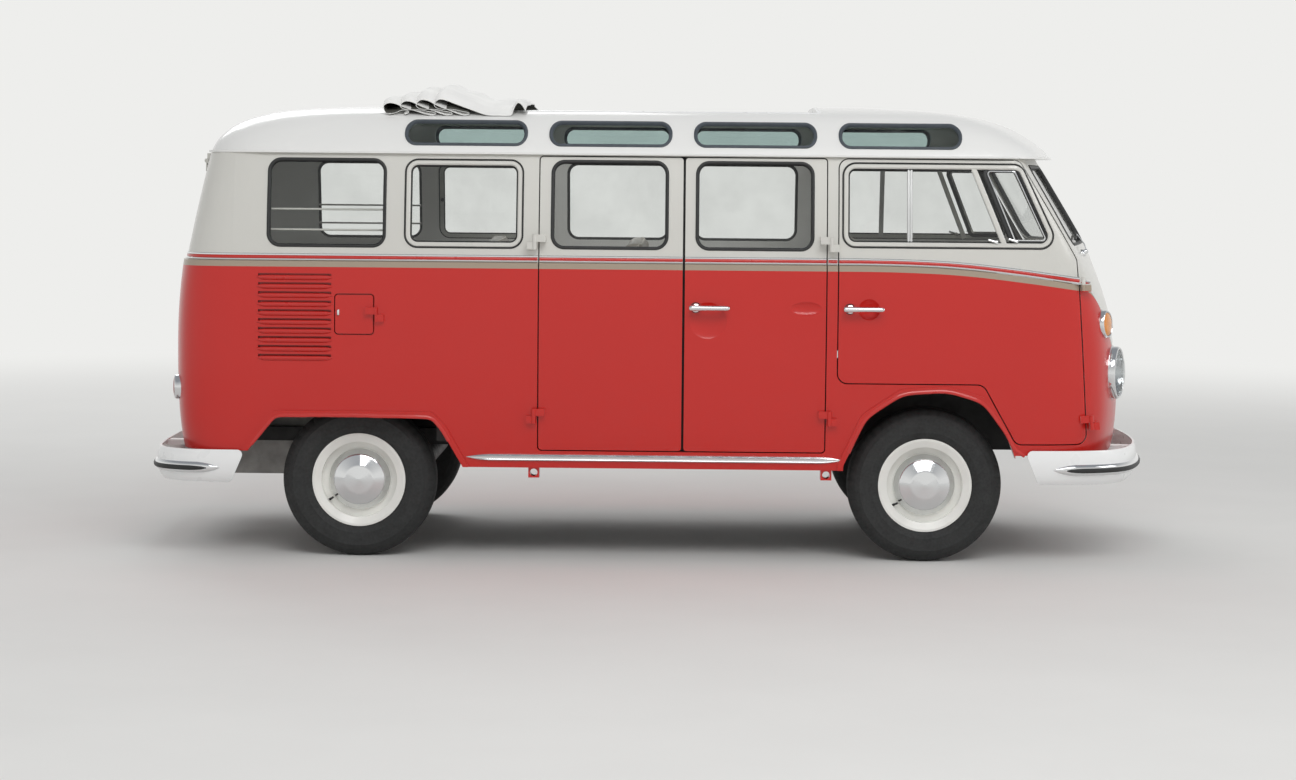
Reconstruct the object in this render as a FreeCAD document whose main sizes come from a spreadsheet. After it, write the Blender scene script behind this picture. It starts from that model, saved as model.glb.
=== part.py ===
import FreeCAD, Part
import os
import re
from math import pi, sin, cos, tan
from types import SimpleNamespace
from FreeCAD import Vector, Placement, Rotation
import Sketcher

# A forward-control passenger minibus with a folding canvas roof, in millimetres.
# The ground below the middle of the body is the origin. The front points to +X,
# the left side to +Y and the roof to +Z. It stands on its wheels.

os.makedirs("parts", exist_ok=True)
doc = FreeCAD.newDocument("minibus")
sheet = doc.addObject("Spreadsheet::Sheet", "Sizes")

sizes = [
    # body shell
    ("body_width", 1720),
    ("nose_reach", 2052),
    ("tail_reach", 2050),
    ("sill_height", 394),
    ("gutter_height", 1716),
    ("front_curve_start", 1500),
    ("rear_curve_length", 290),
    ("nose_round_drop", 85),
    ("tail_round_drop", 20),
    ("wall_thickness", 40),
    ("skin_thickness", 10),
    ("belt_step", 12),
    ("cut_overrun", 200),
    ("nose_edge_height", 465),
    ("tail_edge_height", 456),
    ("belt_height", 1255),
    ("belt_door_height", 1242),
    ("belt_corner_height", 1183),
    ("belt_drop_start", 900),
    ("belt_door_station", 1289),
    ("belt_corner_station", 1782),
    ("vee_corner_width", 790),
    ("vee_foot_height", 505),
    # roof
    ("roof_height", 1926),
    ("roof_width", 1544),
    ("roof_front_reach", 1757),
    ("roof_rear_reach", 1935),
    ("roof_thickness", 30),
    ("gutter_depth", 8),
    ("gutter_width", 12),
    ("roof_opening_front", 700),
    ("roof_opening_rear", 1150),
    ("roof_opening_width", 1100),
    ("roof_opening_corner", 20),
    ("skylight_length", 513),
    ("skylight_pitch", 609),
    ("skylight_front", 1293),
    ("skylight_bottom", 1745),
    ("skylight_top", 1848),
    ("skylight_corner", 48),
    # canvas, folded back
    ("canvas_rear", 1215),
    ("canvas_front", 560),
    ("canvas_width", 1120),
    ("canvas_top", 2000),
    ("canvas_seat", 1898),
    # windows
    ("window_bottom", 1315),
    ("window_top", 1685),
    ("window_corner", 55),
    ("window_tail_inset", 433),
    ("window_post", 79),
    ("window_door_gap", 65),
    ("window_three_rear", 426),
    ("window_three_front", 64),
    ("window_four_rear", 180),
    ("window_four_front", 674),
    ("door_window_rear", 793),
    ("door_window_bottom", 1331),
    ("door_window_foot", 1706),
    ("door_window_head", 1540),
    ("glass_thickness", 5),
    ("glass_depth", 14),
    ("windscreen_bottom", 1345),
    ("windscreen_top", 1680),
    ("windscreen_post", 32),
    ("windscreen_foot_width", 745),
    ("windscreen_head_width", 695),
    ("windscreen_corner", 60),
    # doors
    ("door_gap", 5),
    ("door_flange", 12),
    ("door_corner", 45),
    ("door_top", 1704),
    ("front_door_rear", 775),
    ("front_door_arch_bottom", 760),
    ("front_door_arch_end", 1388),
    ("front_door_foot_start", 1529),
    ("front_door_bottom", 509),
    ("front_door_foot", 1838),
    ("front_door_waist", 1782),
    ("front_door_waist_height", 1289),
    ("front_door_head", 1535),
    ("cargo_rear", 479),
    ("cargo_middle", 131),
    ("cargo_front", 732),
    ("cargo_bottom", 466),
    ("tailgate_width", 1230),
    ("tailgate_bottom", 925),
    ("tailgate_top", 1660),
    ("tailgate_corner", 90),
    ("tailgate_window_width", 1020),
    ("tailgate_window_bottom", 1290),
    ("tailgate_window_top", 1610),
    ("tailgate_window_corner", 72),
    ("lid_width", 900),
    ("lid_bottom", 560),
    ("lid_top", 862),
    ("lid_corner", 80),
    ("flap_rear", 1332),
    ("flap_front", 1163),
    ("flap_bottom", 948),
    ("flap_top", 1121),
    ("flap_corner", 18),
    ("flap_pocket", 28),
    ("flap_gap", 5),
    ("flap_thickness", 6),
    ("flap_hinge_offset", 8),
    ("flap_hinge_radius", 5),
    ("flap_hinge_length", 60),
    ("filler_radius", 38),
    ("filler_length", 12),
    # hinges and handles
    ("hinge_standoff", 14),
    ("hinge_radius", 9),
    ("hinge_length", 62),
    ("hinge_leaf", 46),
    ("hinge_body_leaf", 32),
    ("hinge_step", 26),
    ("hinge_bed", 40),
    ("hinge_sheet", 5),
    ("lid_hinge_offset", 12),
    ("tailgate_hinge_spacing", 820),
    ("lid_hinge_spacing", 560),
    ("cargo_hinge_low", 615),
    ("cargo_hinge_high", 1344),
    ("cargo_hinge_offset", 14),
    ("front_hinge_low", 605),
    ("front_hinge_high", 1186),
    ("front_hinge_foot", 1850),
    ("front_hinge_head", 1803),
    ("front_hinge_standoff", 34),
    ("handle_height", 1075),
    ("handle_length", 150),
    ("handle_radius", 9),
    ("handle_standoff", 38),
    ("handle_post", 16),
    ("cargo_handle_station", 241),
    ("front_handle_station", 885),
    ("recess_depth", 9),
    ("cargo_recess_station", 233),
    ("cargo_recess_height", 1026),
    ("cargo_recess_radius", 78),
    ("cargo_boss_station", 174),
    ("cargo_boss_radius", 34),
    ("front_recess_station", 907),
    ("front_recess_radius", 45),
    ("dimple_station", 645),
    ("dimple_length", 132),
    ("dimple_height", 58),
    # wheel arches
    ("arch_lip_width", 24),
    ("arch_lip_rise", 8),
    ("rear_arch_top", 604),
    ("front_arch_top", 730),
    ("rear_arch_corner", 33),
    ("front_arch_corner", 52),
    # louvres
    ("louvre_count", 10),
    ("louvre_tail_inset", 399),
    ("louvre_length", 306),
    ("louvre_bottom", 858),
    ("louvre_top", 1196),
    ("louvre_slot", 14),
    ("louvre_depth", 26),
    # floor
    ("floor_top", 530),
    ("floor_thickness", 30),
    ("floor_front", 1900),
    ("deck_top", 960),
    ("deck_front", 880),
    ("deck_thickness", 25),
    ("tub_inner", 440),
    ("tub_rear", 752),
    ("tub_front", 1572),
    ("tub_top", 765),
    ("tub_wall", 15),
    ("bulkhead_station", 735),
    ("bulkhead_thickness", 20),
    ("bulkhead_top", 1120),
    ("rail_width", 60),
    ("rail_bottom", 440),
    ("rail_spacing", 640),
    ("rail_rear", 1100),
    ("rail_front", 1860),
    ("tail_rail_spacing", 760),
    ("outrigger_rear", -700),
    ("outrigger_middle", -200),
    ("outrigger_front", 300),
    ("outrigger_nose", 1700),
    ("outrigger_length", 50),
    # jack brackets
    ("jack_rear", 494),
    ("jack_front", 738),
    ("jack_width", 46),
    ("jack_height", 44),
    ("jack_depth", 60),
    ("jack_bore", 16),
    ("jack_set", 40),
    # wheels
    ("wheelbase", 2400),
    ("front_axle_station", 1160),
    ("front_track", 1375),
    ("rear_track", 1360),
    ("tyre_radius", 326),
    ("tyre_width", 185),
    ("rim_radius", 198),
    ("rim_width", 150),
    ("rim_lip", 12),
    ("rim_well", 170),
    ("rim_sheet", 9),
    ("disc_set", 22),
    ("drum_radius", 130),
    ("drum_depth", 62),
    ("hubcap_radius", 133),
    ("hubcap_dome", 62),
    ("hubcap_lip", 8),
    ("wheel_bore", 22),
    ("bearing_clearance", 0.3),
    ("spindle_end", 12),
    ("end_float", 2),
    ("hub_outer_share", 0.8),
    ("hub_inner_share", 0.45),
    ("hub_low_share", 0.62),
    ("hub_high_share", 0.92),
    ("tyre_belly_radius", 262),
    ("tyre_shoulder_radius", 308),
    ("tyre_round", 12),
    ("tyre_tread", 116),
    # steering and axles
    ("kingpin_spacing", 1140),
    ("kingpin_height", 150),
    ("knuckle_radius", 26),
    ("spindle_radius", 21.7),
    ("backplate_radius", 120),
    ("backplate_thickness", 8),
    ("drum_clearance", 5),
    ("axle_tube_radius", 26),
    ("axle_tube_length", 1012),
    ("axle_tube_lead", 150),
    ("axle_tube_low", 238),
    ("axle_tube_high", 412),
    ("arm_width", 26),
    ("arm_height", 34),
    ("axle_head_width", 50),
    ("gearbox_length", 460),
    ("gearbox_width", 260),
    ("gearbox_height", 220),
    ("rear_tube_radius", 38),
    ("torsion_tube_radius", 60),
    ("torsion_tube_length", 920),
    ("torsion_tube_station", 1020),
    ("engine_front", 1470),
    ("engine_rear", 1890),
    ("engine_width", 620),
    ("engine_bottom", 300),
    ("engine_top", 700),
    ("muffler_radius", 62),
    ("muffler_length", 620),
    ("muffler_height", 330),
    # bumpers
    ("bumper_front_reach", 2140),
    ("bumper_rear_reach", 2140),
    ("bumper_front_end", 1567),
    ("bumper_rear_end", 1707),
    ("bumper_end_slant", 60),
    ("bumper_end_corner", 22),
    ("bumper_front_bottom", 343),
    ("bumper_front_height", 144),
    ("bumper_rear_bottom", 322),
    ("bumper_rear_height", 138),
    ("bumper_width", 1752),
    ("bumper_sheet", 8),
    ("bumper_dome", 26),
    ("bumper_bracket_width", 60),
    ("bumper_bracket_height", 22),
    ("bumper_bracket_drop", 1),
    ("bumper_bracket_lap", 150),
    # lamps
    ("bowl_back_share", 0.7),
    ("bowl_shoulder_share", 0.4),
    ("lens_outer_share", 0.75),
    ("lens_low_share", 0.6),
    ("lens_inner_share", 0.4),
    ("lens_high_share", 0.92),
    ("lamp_stand", 6),
    ("headlamp_radius", 110),
    ("headlamp_height", 800),
    ("headlamp_spacing", 1150),
    ("headlamp_depth", 120),
    ("headlamp_dome", 34),
    ("signal_radius", 58),
    ("signal_height", 1012),
    ("signal_spacing", 1370),
    ("signal_depth", 60),
    ("signal_dome", 16),
    ("tail_lamp_radius", 52),
    ("tail_lamp_height", 712),
    ("tail_lamp_spacing", 1400),
    ("tail_lamp_depth", 60),
    ("tail_lamp_dome", 16),
    # cab
    ("dash_rear", 1700),
    ("dash_top", 1300),
    ("dash_height", 130),
    ("dash_width", 1360),
    ("dash_sheet", 22),
    ("steering_side", 385),
    ("steering_station", 1380),
    ("steering_height", 1225),
    ("column_foot_station", 1640),
    ("column_radius", 20),
    ("steering_wheel_radius", 200),
    ("steering_rim_radius", 12),
    ("steering_hub_radius", 32),
    ("steering_hub_height", 36),
    ("steering_spoke_radius", 7),
    # seats
    ("seat_edge", 22),
    ("cushion_height", 115),
    ("back_thickness", 100),
    ("plinth_top", 800),
    ("plinth_front", 1230),
    ("plinth_sheet", 12),
    ("plinth_width", 1500),
    ("seat_back_lap", 60),
    ("front_seat_front", 1290),
    ("front_seat_rear", 880),
    ("front_back_top", 1370),
    ("driver_seat_width", 520),
    ("passenger_seat_width", 900),
    ("seat_side_gap", 60),
    ("bench_seat_height", 830),
    ("bench_depth", 430),
    ("bench_back_top", 1352),
    ("middle_bench_rear", 130),
    ("middle_bench_width", 1180),
    ("rear_bench_rear", 790),
    ("rear_bench_width", 1440),
    ("bench_leg_radius", 16),
    ("bench_leg_inset", 60),
    ("seat_settle", 0.3),
]

row = 0
for alias, value in sizes:
    row += 1
    sheet.set("A%d" % row, alias)
    sheet.set("B%d" % row, str(value))
    sheet.setAlias("B%d" % row, alias)
doc.recompute()
v = SimpleNamespace(**{alias: float(sheet.get(alias)) for alias, value in sizes})

half = v.body_width / 2
pieces = []


def bound(text):
    # words in the text become cells of the sheet
    return re.sub(r"[a-z]\w*", r"Sizes.\g<0>", text)


def keep(item, label):
    item.Label = label
    pieces.append(item)
    return item


def feature(name, shape):
    # a shape that no sketch or primitive fits
    item = doc.addObject("Part::Feature", name)
    item.Shape = shape
    item.Placement = Placement()
    return item


def place(item, where, turn=None):
    # the place is bound to the sheet, the turn is fixed
    if turn is not None:
        item.Placement = Placement(Vector(0, 0, 0), turn)
    for axis, text in zip("xyz", where):
        item.setExpression("Placement.Base." + axis, bound(text))
    return item


def block(name, length, width, height, where):
    item = doc.addObject("Part::Box", name)
    item.setExpression("Length", bound(length))
    item.setExpression("Width", bound(width))
    item.setExpression("Height", bound(height))
    return place(item, where)


def rod(name, radius, length, where, turn=None):
    item = doc.addObject("Part::Cylinder", name)
    item.setExpression("Radius", bound(radius))
    item.setExpression("Height", bound(length))
    return place(item, where, turn)


def fuse(name, *items):
    item = doc.addObject("Part::MultiFuse", name)
    item.Shapes = list(items)
    return item


def group(name, *items):
    # separate solids in one piece
    item = doc.addObject("Part::Compound", name)
    item.Links = list(items)
    return item


along_x = Rotation(Vector(0, 1, 0), 90)
along_y = Rotation(Vector(1, 0, 0), -90)


def origin_plane(body, role):
    return [item for item in body.Origin.OriginFeatures if item.Role == role][0]


def outline_sketch(body, name, role, points):
    # a closed outline whose corners are bound to the sheet
    sketch = body.newObject("Sketcher::SketchObject", name)
    sketch.AttachmentSupport = (origin_plane(body, role), "")
    sketch.MapMode = "FlatFace"
    count = len(points)
    for index in range(count):
        angle = 2 * pi * index / count
        after = 2 * pi * (index + 1) / count
        start = Vector(cos(angle), sin(angle), 0)
        end = Vector(cos(after), sin(after), 0)
        sketch.addGeometry(Part.LineSegment(start, end), False)
    for index in range(count):
        sketch.addConstraint(Sketcher.Constraint("Coincident", index, 2, (index + 1) % count, 1))
    for index, (across, up) in enumerate(points):
        for kind, text in (("DistanceX", across), ("DistanceY", up)):
            number = sketch.addConstraint(Sketcher.Constraint(kind, -1, 1, index, 1, 1))
            sketch.setExpression("Constraints[%d]" % number, bound(text))
    return sketch


def turned(name, points):
    # a body turned about its own Z axis from an outline of radius and height
    body = doc.addObject("PartDesign::Body", name)
    sketch = outline_sketch(body, name + "_outline", "XZ_Plane", points)
    doc.recompute()
    turn = body.newObject("PartDesign::Revolution", name + "_turn")
    turn.Profile = sketch
    turn.ReferenceAxis = (sketch, ["V_Axis"])
    turn.Angle = 360
    doc.recompute()
    return body


def padded_block(name, length, width, height, where, edge):
    # a soft block with rounded edges
    base = block(name + "_block", length, width, height, where)
    doc.recompute()
    item = doc.addObject("Part::Fillet", name)
    item.Base = base
    item.Edges = [(number + 1, edge, edge) for number in range(len(base.Shape.Edges))]
    return item


def upright(points):
    # outline points of a side view, as x and z
    return [Vector(x, 0, z) for x, z in points]


def facing(points):
    # outline points of a front view, as y and z
    return [Vector(0, y, z) for y, z in points]


def rounded(points, radius):
    # a closed wire with an arc of the radius at each corner
    edges = []
    stops = []
    count = len(points)
    for index in range(count):
        corner = points[index]
        back = (points[index - 1] - corner).normalize()
        ahead = (points[(index + 1) % count] - corner).normalize()
        turn = back.getAngle(ahead)
        reach = radius / tan(turn / 2)
        middle = (back + ahead).normalize()
        depth = radius / sin(turn / 2) - radius
        stops.append((corner + back * reach, corner + middle * depth, corner + ahead * reach))
    for index in range(count):
        first, bulge, last = stops[index]
        edges.append(Part.Arc(first, bulge, last).toShape())
        edges.append(Part.LineSegment(last, stops[(index + 1) % count][0]).toShape())
    return Part.Wire(edges)


def prism(wire, direction, grow=0):
    # the outline drawn out to both sides of its own plane
    if grow:
        wire = wire.makeOffset2D(grow)
    face = Part.Face(wire)
    face.translate(direction * -1)
    return face.extrude(direction * 2)


across = Vector(0, half + v.cut_overrun, 0)
lengthways = Vector(v.nose_reach + v.cut_overrun, 0, 0)


# Body shell, from plan sections one above the other.
# Each row has height, width, front curve start, nose, nose drop, slope at the
# shoulder, slope at the middle, rear curve start and tail.
shoulder_share = 0.72
corner_share = 0.72
rear_slope_share = 0.10
body_section_shares = [
    (0.000, 0.974, 1.000, 0.980, 1.00, 0.36, 0.00, 0.989, 0.980),
    (0.080, 0.991, 1.000, 0.994, 1.00, 0.36, 0.00, 0.994, 0.994),
    (0.231, 1.000, 1.000, 1.000, 1.00, 0.36, 0.00, 1.000, 1.000),
    (0.421, 1.000, 1.007, 0.995, 1.00, 0.34, 0.00, 1.000, 1.000),
    (0.534, 0.997, 1.027, 0.982, 1.04, 0.32, 0.04, 1.000, 0.996),
    (0.648, 0.988, 1.080, 0.963, 1.24, 0.27, 0.13, 0.994, 0.988),
    (0.708, 0.979, 1.127, 0.947, 1.44, 0.22, 0.20, 0.989, 0.980),
    (0.837, 0.958, 1.067, 0.896, 1.39, 0.21, 0.19, 0.977, 0.963),
    (1.000, 0.904, 0.987, 0.831, 1.30, 0.20, 0.18, 0.949, 0.939),
]


def half_end(width, start, tip, drop, slope, middle_slope, sign):
    # curves from the straight side to the middle of the nose or tail
    shoulder = width * shoulder_share
    shoulder_x = tip - drop
    flare = corner_share * (width - shoulder)
    third = shoulder / 3
    corner = [
        (start, width),
        (start + corner_share * (shoulder_x - start), width),
        (shoulder_x - slope * flare, shoulder + flare),
        (shoulder_x, shoulder),
    ]
    end = [
        (shoulder_x, shoulder),
        (shoulder_x + slope * third, shoulder - third),
        (tip - middle_slope * third, third),
        (tip, 0),
    ]
    return [[(sign * x, y) for x, y in corner], [(sign * x, y) for x, y in end]]


def plan_runs(height, width, front, rear):
    # front and rear hold start, tip, drop, slope and middle slope
    front_corner, front_end = half_end(width, *front, 1)
    rear_corner, rear_end = half_end(width, *rear, -1)
    side_front, side_rear = front_corner[0], rear_corner[0]
    third = (side_rear[0] - side_front[0]) / 3
    side = [(side_front[0] + third * step, width) for step in range(4)]
    left = [front_end[::-1], front_corner[::-1], side, rear_corner, rear_end]
    right = [[(x, -y) for x, y in run[::-1]] for run in left[::-1]]
    return [[Vector(x, y, height) for x, y in run] for run in left + right]


def run_wire(runs):
    edges = []
    for poles in runs:
        curve = Part.BezierCurve()
        curve.setPoles(poles)
        edges.append(curve.toShape())
    return Part.Wire(edges)


def plan_wire(height, width, front, rear):
    return run_wire(plan_runs(height, width, front, rear))


def smooth_stack(levels):
    # a closed form drawn smoothly over plan outlines, from the lowest up
    degree = 3
    inner_knots = len(levels) - degree - 1
    knots = list(range(inner_knots + 2))
    mults = [degree + 1] + [1] * inner_knots + [degree + 1]
    faces = [Part.Face(run_wire(levels[0])), Part.Face(run_wire(levels[-1]))]
    for index in range(len(levels[0])):
        poles = [level[index] for level in levels]
        surface = Part.BSplineSurface()
        surface.buildFromPolesMultsKnots(
            poles, mults, [degree + 1, degree + 1], knots, [0, 1], False, False, degree, degree
        )
        faces.append(surface.toShape())
    form = Part.Compound(faces)
    form.sewShape()
    solid = Part.makeSolid(form.Shells[0])
    if solid.Volume < 0:
        solid.reverse()
    return solid


rear_curve_start = v.tail_reach - v.rear_curve_length


def body_runs(shares, inset):
    up, width, start, nose, drop, slope, middle, rear_start, tail = shares
    height = v.sill_height + up * (v.gutter_height - v.sill_height)
    front = (
        start * v.front_curve_start,
        nose * v.nose_reach - inset,
        drop * v.nose_round_drop,
        slope,
        middle,
    )
    rear = (
        rear_start * rear_curve_start,
        tail * v.tail_reach - inset,
        v.tail_round_drop,
        rear_slope_share,
        0,
    )
    return plan_runs(height, width * half - inset, front, rear)


def hull(inset):
    return smooth_stack([body_runs(shares, inset) for shares in body_section_shares])


# The belt runs along the sides, drops over the front doors and meets in a vee
# low on the nose.
vee_shares = [
    (0.937, 0.914),
    (0.873, 0.811),
    (0.810, 0.708),
    (0.728, 0.590),
    (0.608, 0.465),
    (0.468, 0.332),
    (0.304, 0.184),
    (0.139, 0.059),
]
vee_rise = v.belt_corner_height - v.vee_foot_height
belt_end_slope_share = -0.16


def belt_region():
    # all that lies below the belt
    floor = -v.cut_overrun
    rear = -v.tail_reach - v.cut_overrun
    side_points = upright(
        [
            (v.belt_drop_start, v.belt_height),
            (v.belt_door_station, v.belt_door_height),
            (v.belt_corner_station, v.belt_corner_height),
        ]
    )
    side_curve = Part.BSplineCurve()
    side_curve.interpolate(
        side_points, InitialTangent=Vector(1, 0, 0), FinalTangent=Vector(1, 0, belt_end_slope_share)
    )
    corners = upright(
        [
            (v.belt_corner_station, v.belt_corner_height),
            (v.belt_corner_station, floor),
            (rear, floor),
            (rear, v.belt_height),
            (v.belt_drop_start, v.belt_height),
        ]
    )
    edges = [side_curve.toShape()]
    for start, end in zip(corners, corners[1:]):
        edges.append(Part.LineSegment(start, end).toShape())
    sides = prism(Part.Wire(edges), across)
    foot = Vector(0, 0, v.vee_foot_height)
    rise = [(v.vee_corner_width * y, v.vee_foot_height + vee_rise * z) for y, z in vee_shares]
    left_points = facing([(v.vee_corner_width, v.belt_corner_height)] + rise) + [foot]
    vee_curve = Part.BSplineCurve()
    vee_curve.interpolate(left_points)
    right_points = [Vector(0, -point.y, point.z) for point in left_points[::-1]]
    other_curve = Part.BSplineCurve()
    other_curve.interpolate(right_points)
    wide = half + v.cut_overrun
    corners = facing(
        [
            (-v.vee_corner_width, v.belt_corner_height),
            (-wide, v.belt_corner_height),
            (-wide, floor),
            (wide, floor),
            (wide, v.belt_corner_height),
            (v.vee_corner_width, v.belt_corner_height),
        ]
    )
    edges = [vee_curve.toShape(), other_curve.toShape()]
    for start, end in zip(corners, corners[1:]):
        edges.append(Part.LineSegment(start, end).toShape())
    face = Part.Face(Part.Wire(edges))
    face.translate(Vector(v.belt_corner_station, 0, 0))
    nose = face.extrude(lengthways)
    return sides.fuse(nose)


front_arch_shares = [
    (-1.080, 0.000),
    (-1.080, 0.568),
    (-0.794, 0.845),
    (-0.322, 0.985),
    (0.252, 1.000),
    (0.702, 0.941),
    (1.031, 0.742),
    (1.190, 0.548),
    (1.190, 0.000),
]
rear_arch_shares = [
    (-1.408, 0.000),
    (-1.408, 0.755),
    (-1.031, 1.000),
    (0.957, 1.000),
    (1.101, 0.912),
    (1.377, 0.651),
    (1.377, 0.000),
]


def arch_wire(station, top, shares, corner):
    # shares of the tyre's radius along, and of the arch's height up
    points = upright([(station + along * v.tyre_radius, up * top) for along, up in shares])
    return rounded(points, corner)


rear_axle_station = v.front_axle_station - v.wheelbase
front_arch = arch_wire(v.front_axle_station, v.front_arch_top, front_arch_shares, v.front_arch_corner)
rear_arch = arch_wire(rear_axle_station, v.rear_arch_top, rear_arch_shares, v.rear_arch_corner)

fat = hull(0)
lean = hull(v.belt_step)
under_skin = hull(v.belt_step + v.skin_thickness)
cabin = hull(v.wall_thickness)
below_belt = belt_region()
outside = fat.common(below_belt).fuse(lean)

# The wheel arches have a raised lip.
lip_ring = prism(front_arch, across, v.arch_lip_width).fuse(prism(rear_arch, across, v.arch_lip_width))
lips = hull(-v.arch_lip_rise).common(lip_ring)
outside = outside.fuse(lips)

nose_trim = Part.makeBox(
    v.nose_reach, v.body_width + 2 * v.cut_overrun, v.nose_edge_height,
    Vector(v.front_door_foot_start, -half - v.cut_overrun, 0),
)
tail_trim = Part.makeBox(
    v.tail_reach, v.body_width + 2 * v.cut_overrun, v.tail_edge_height,
    Vector(-v.tail_reach - v.flap_rear, -half - v.cut_overrun, 0),
)
openings = prism(front_arch, across).fuse([prism(rear_arch, across), nose_trim, tail_trim])
shell = outside.cut(cabin).cut(openings)
skin = outside.cut(under_skin).cut(openings)
lining = under_skin.cut(cabin).cut(openings)


# Outlines of doors, lids and windows, in side view and from behind.
def panel_points(rear, front, bottom, top):
    return upright([(rear, bottom), (front, bottom), (front, top), (rear, top)])


def facing_points(half_width, bottom, top):
    return facing([(-half_width, bottom), (half_width, bottom), (half_width, top), (-half_width, top)])


front_door_wire = rounded(
    upright(
        [
            (v.front_door_rear, v.front_door_arch_bottom),
            (v.front_door_arch_end, v.front_door_arch_bottom),
            (v.front_door_foot_start, v.front_door_bottom),
            (v.front_door_foot, v.front_door_bottom),
            (v.front_door_waist, v.front_door_waist_height),
            (v.front_door_head, v.door_top),
            (v.front_door_rear, v.door_top),
        ]
    ),
    v.door_corner,
)
cargo_rear_wire = rounded(
    panel_points(-v.cargo_rear, v.cargo_middle, v.cargo_bottom, v.door_top), v.flap_corner
)
cargo_front_wire = rounded(
    panel_points(v.cargo_middle, v.cargo_front, v.cargo_bottom, v.door_top), v.flap_corner
)
tailgate_wire = rounded(
    facing_points(v.tailgate_width / 2, v.tailgate_bottom, v.tailgate_top), v.tailgate_corner
)
lid_wire = rounded(facing_points(v.lid_width / 2, v.lid_bottom, v.lid_top), v.lid_corner)
flap_wire = rounded(panel_points(-v.flap_rear, -v.flap_front, v.flap_bottom, v.flap_top), v.flap_corner)


def side_window(rear, front):
    return rounded(panel_points(rear, front, v.window_bottom, v.window_top), v.window_corner)


# The two rear windows share the length between the tail and the rear side door.
window_one_rear = -v.tail_reach + v.window_tail_inset
window_two_front = -v.cargo_rear - v.window_door_gap
rear_window_length = (window_two_front - window_one_rear - v.window_post) / 2
window_one = side_window(window_one_rear, window_one_rear + rear_window_length)
window_two = side_window(window_two_front - rear_window_length, window_two_front)
window_three = side_window(-v.window_three_rear, v.window_three_front)
window_four = side_window(v.window_four_rear, v.window_four_front)
door_window = rounded(
    upright(
        [
            (v.door_window_rear, v.door_window_bottom),
            (v.door_window_foot, v.door_window_bottom),
            (v.door_window_head, v.window_top),
            (v.door_window_rear, v.window_top),
        ]
    ),
    v.window_corner,
)
tailgate_window = rounded(
    facing_points(v.tailgate_window_width / 2, v.tailgate_window_bottom, v.tailgate_window_top),
    v.tailgate_window_corner,
)


def windscreen_wire(side):
    points = [
        (v.windscreen_post, v.windscreen_bottom),
        (v.windscreen_foot_width, v.windscreen_bottom),
        (v.windscreen_head_width, v.windscreen_top),
        (v.windscreen_post, v.windscreen_top),
    ]
    return rounded(facing([(side * y, z) for y, z in points]), v.windscreen_corner)


def outward(wire, direction, grow=0):
    # the outline drawn out from its own plane
    if grow:
        wire = wire.makeOffset2D(grow)
    return Part.Face(wire).extrude(direction)


right = across * -1
left = across
rearward = Vector(-v.tail_reach - v.cut_overrun, 0, 0)

# Each door has an outer skin that fills its opening and a lining that is set
# back behind it, so that its edge clears the opening as it swings.


def door_shape(wire, direction, windows=()):
    leaf = skin.common(outward(wire, direction, -v.door_gap))
    inner = lining.common(outward(wire, direction, -v.door_gap - v.door_flange))
    shape = leaf.fuse(inner)
    for window in windows:
        shape = shape.cut(outward(window, direction))
    return shape.removeSplitter()


glass_outside = v.belt_step + v.glass_depth
glass_layer = hull(glass_outside).cut(hull(glass_outside + v.glass_thickness))


def panes(direction, *windows):
    return Part.Compound([glass_layer.common(outward(window, direction)) for window in windows])


nose_region = prism(
    Part.makePolygon(
        upright(
            [
                (v.front_door_foot, 0),
                (v.front_door_foot, v.front_door_bottom),
                (v.front_door_waist - v.door_corner, v.front_door_waist_height),
                (v.front_door_head, v.door_top),
                (v.front_door_head, v.roof_height),
                (v.nose_reach + v.cut_overrun, v.roof_height),
                (v.nose_reach + v.cut_overrun, 0),
                (v.front_door_foot, 0),
            ]
        )
    ),
    across,
)
tail_region = Part.makeBox(
    v.cut_overrun + v.tail_reach, 2 * (half + v.cut_overrun), v.roof_height,
    Vector(-rear_curve_start - v.cut_overrun - v.tail_reach, -half - v.cut_overrun, 0),
)
middle_shell = shell.cut(nose_region).cut(tail_region)


def louvre_slots():
    slots = []
    pitch = (v.louvre_top - v.louvre_bottom) / (v.louvre_count - 1)
    rear = -v.tail_reach + v.louvre_tail_inset
    for index in range(int(v.louvre_count)):
        height = v.louvre_bottom + index * pitch
        for side in (-1, 1):
            slot = Part.makeBox(v.louvre_length, 2 * v.louvre_depth, v.louvre_slot)
            low = side * half - v.louvre_depth
            slot.translate(Vector(rear, low, height - v.louvre_slot / 2))
            slots.append(slot)
    return slots


# Front panel with the windscreen frame.
def lamp_body(name, radius, depth, dome):
    # a round lamp about its own Z axis, its lens domed outwards
    return turned(
        name,
        [
            ("0", "-" + depth),
            (radius + " * bowl_back_share", "-" + depth),
            (radius, "-" + depth + " * bowl_shoulder_share"),
            (radius, "0"),
            (radius + " * lens_outer_share", dome + " * lens_low_share"),
            (radius + " * lens_inner_share", dome + " * lens_high_share"),
            ("0", dome),
        ],
    )


def skin_out(origin, direction):
    # where a ray from inside the body leaves it
    ray = Part.makeLine(origin, origin + direction * v.body_width * 2)
    ends = [vertex.Point for vertex in ray.common(outside).Vertexes]
    return max(ends, key=lambda point: (point - origin).Length)


def lamp_on_skin(kind, side_name, side, spacing, height, ahead):
    # a lamp that faces ahead, its rim just proud of the skin behind its middle
    lamp = lamp_body("%s_%s" % (kind, side_name), kind + "_radius", kind + "_depth", kind + "_dome")
    seat = skin_out(Vector(0, side * spacing / 2, height), ahead)
    turn = Rotation(Vector(0, 0, 1), ahead)
    lamp.Placement = Placement(seat + ahead * v.lamp_stand, turn)
    return lamp


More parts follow.
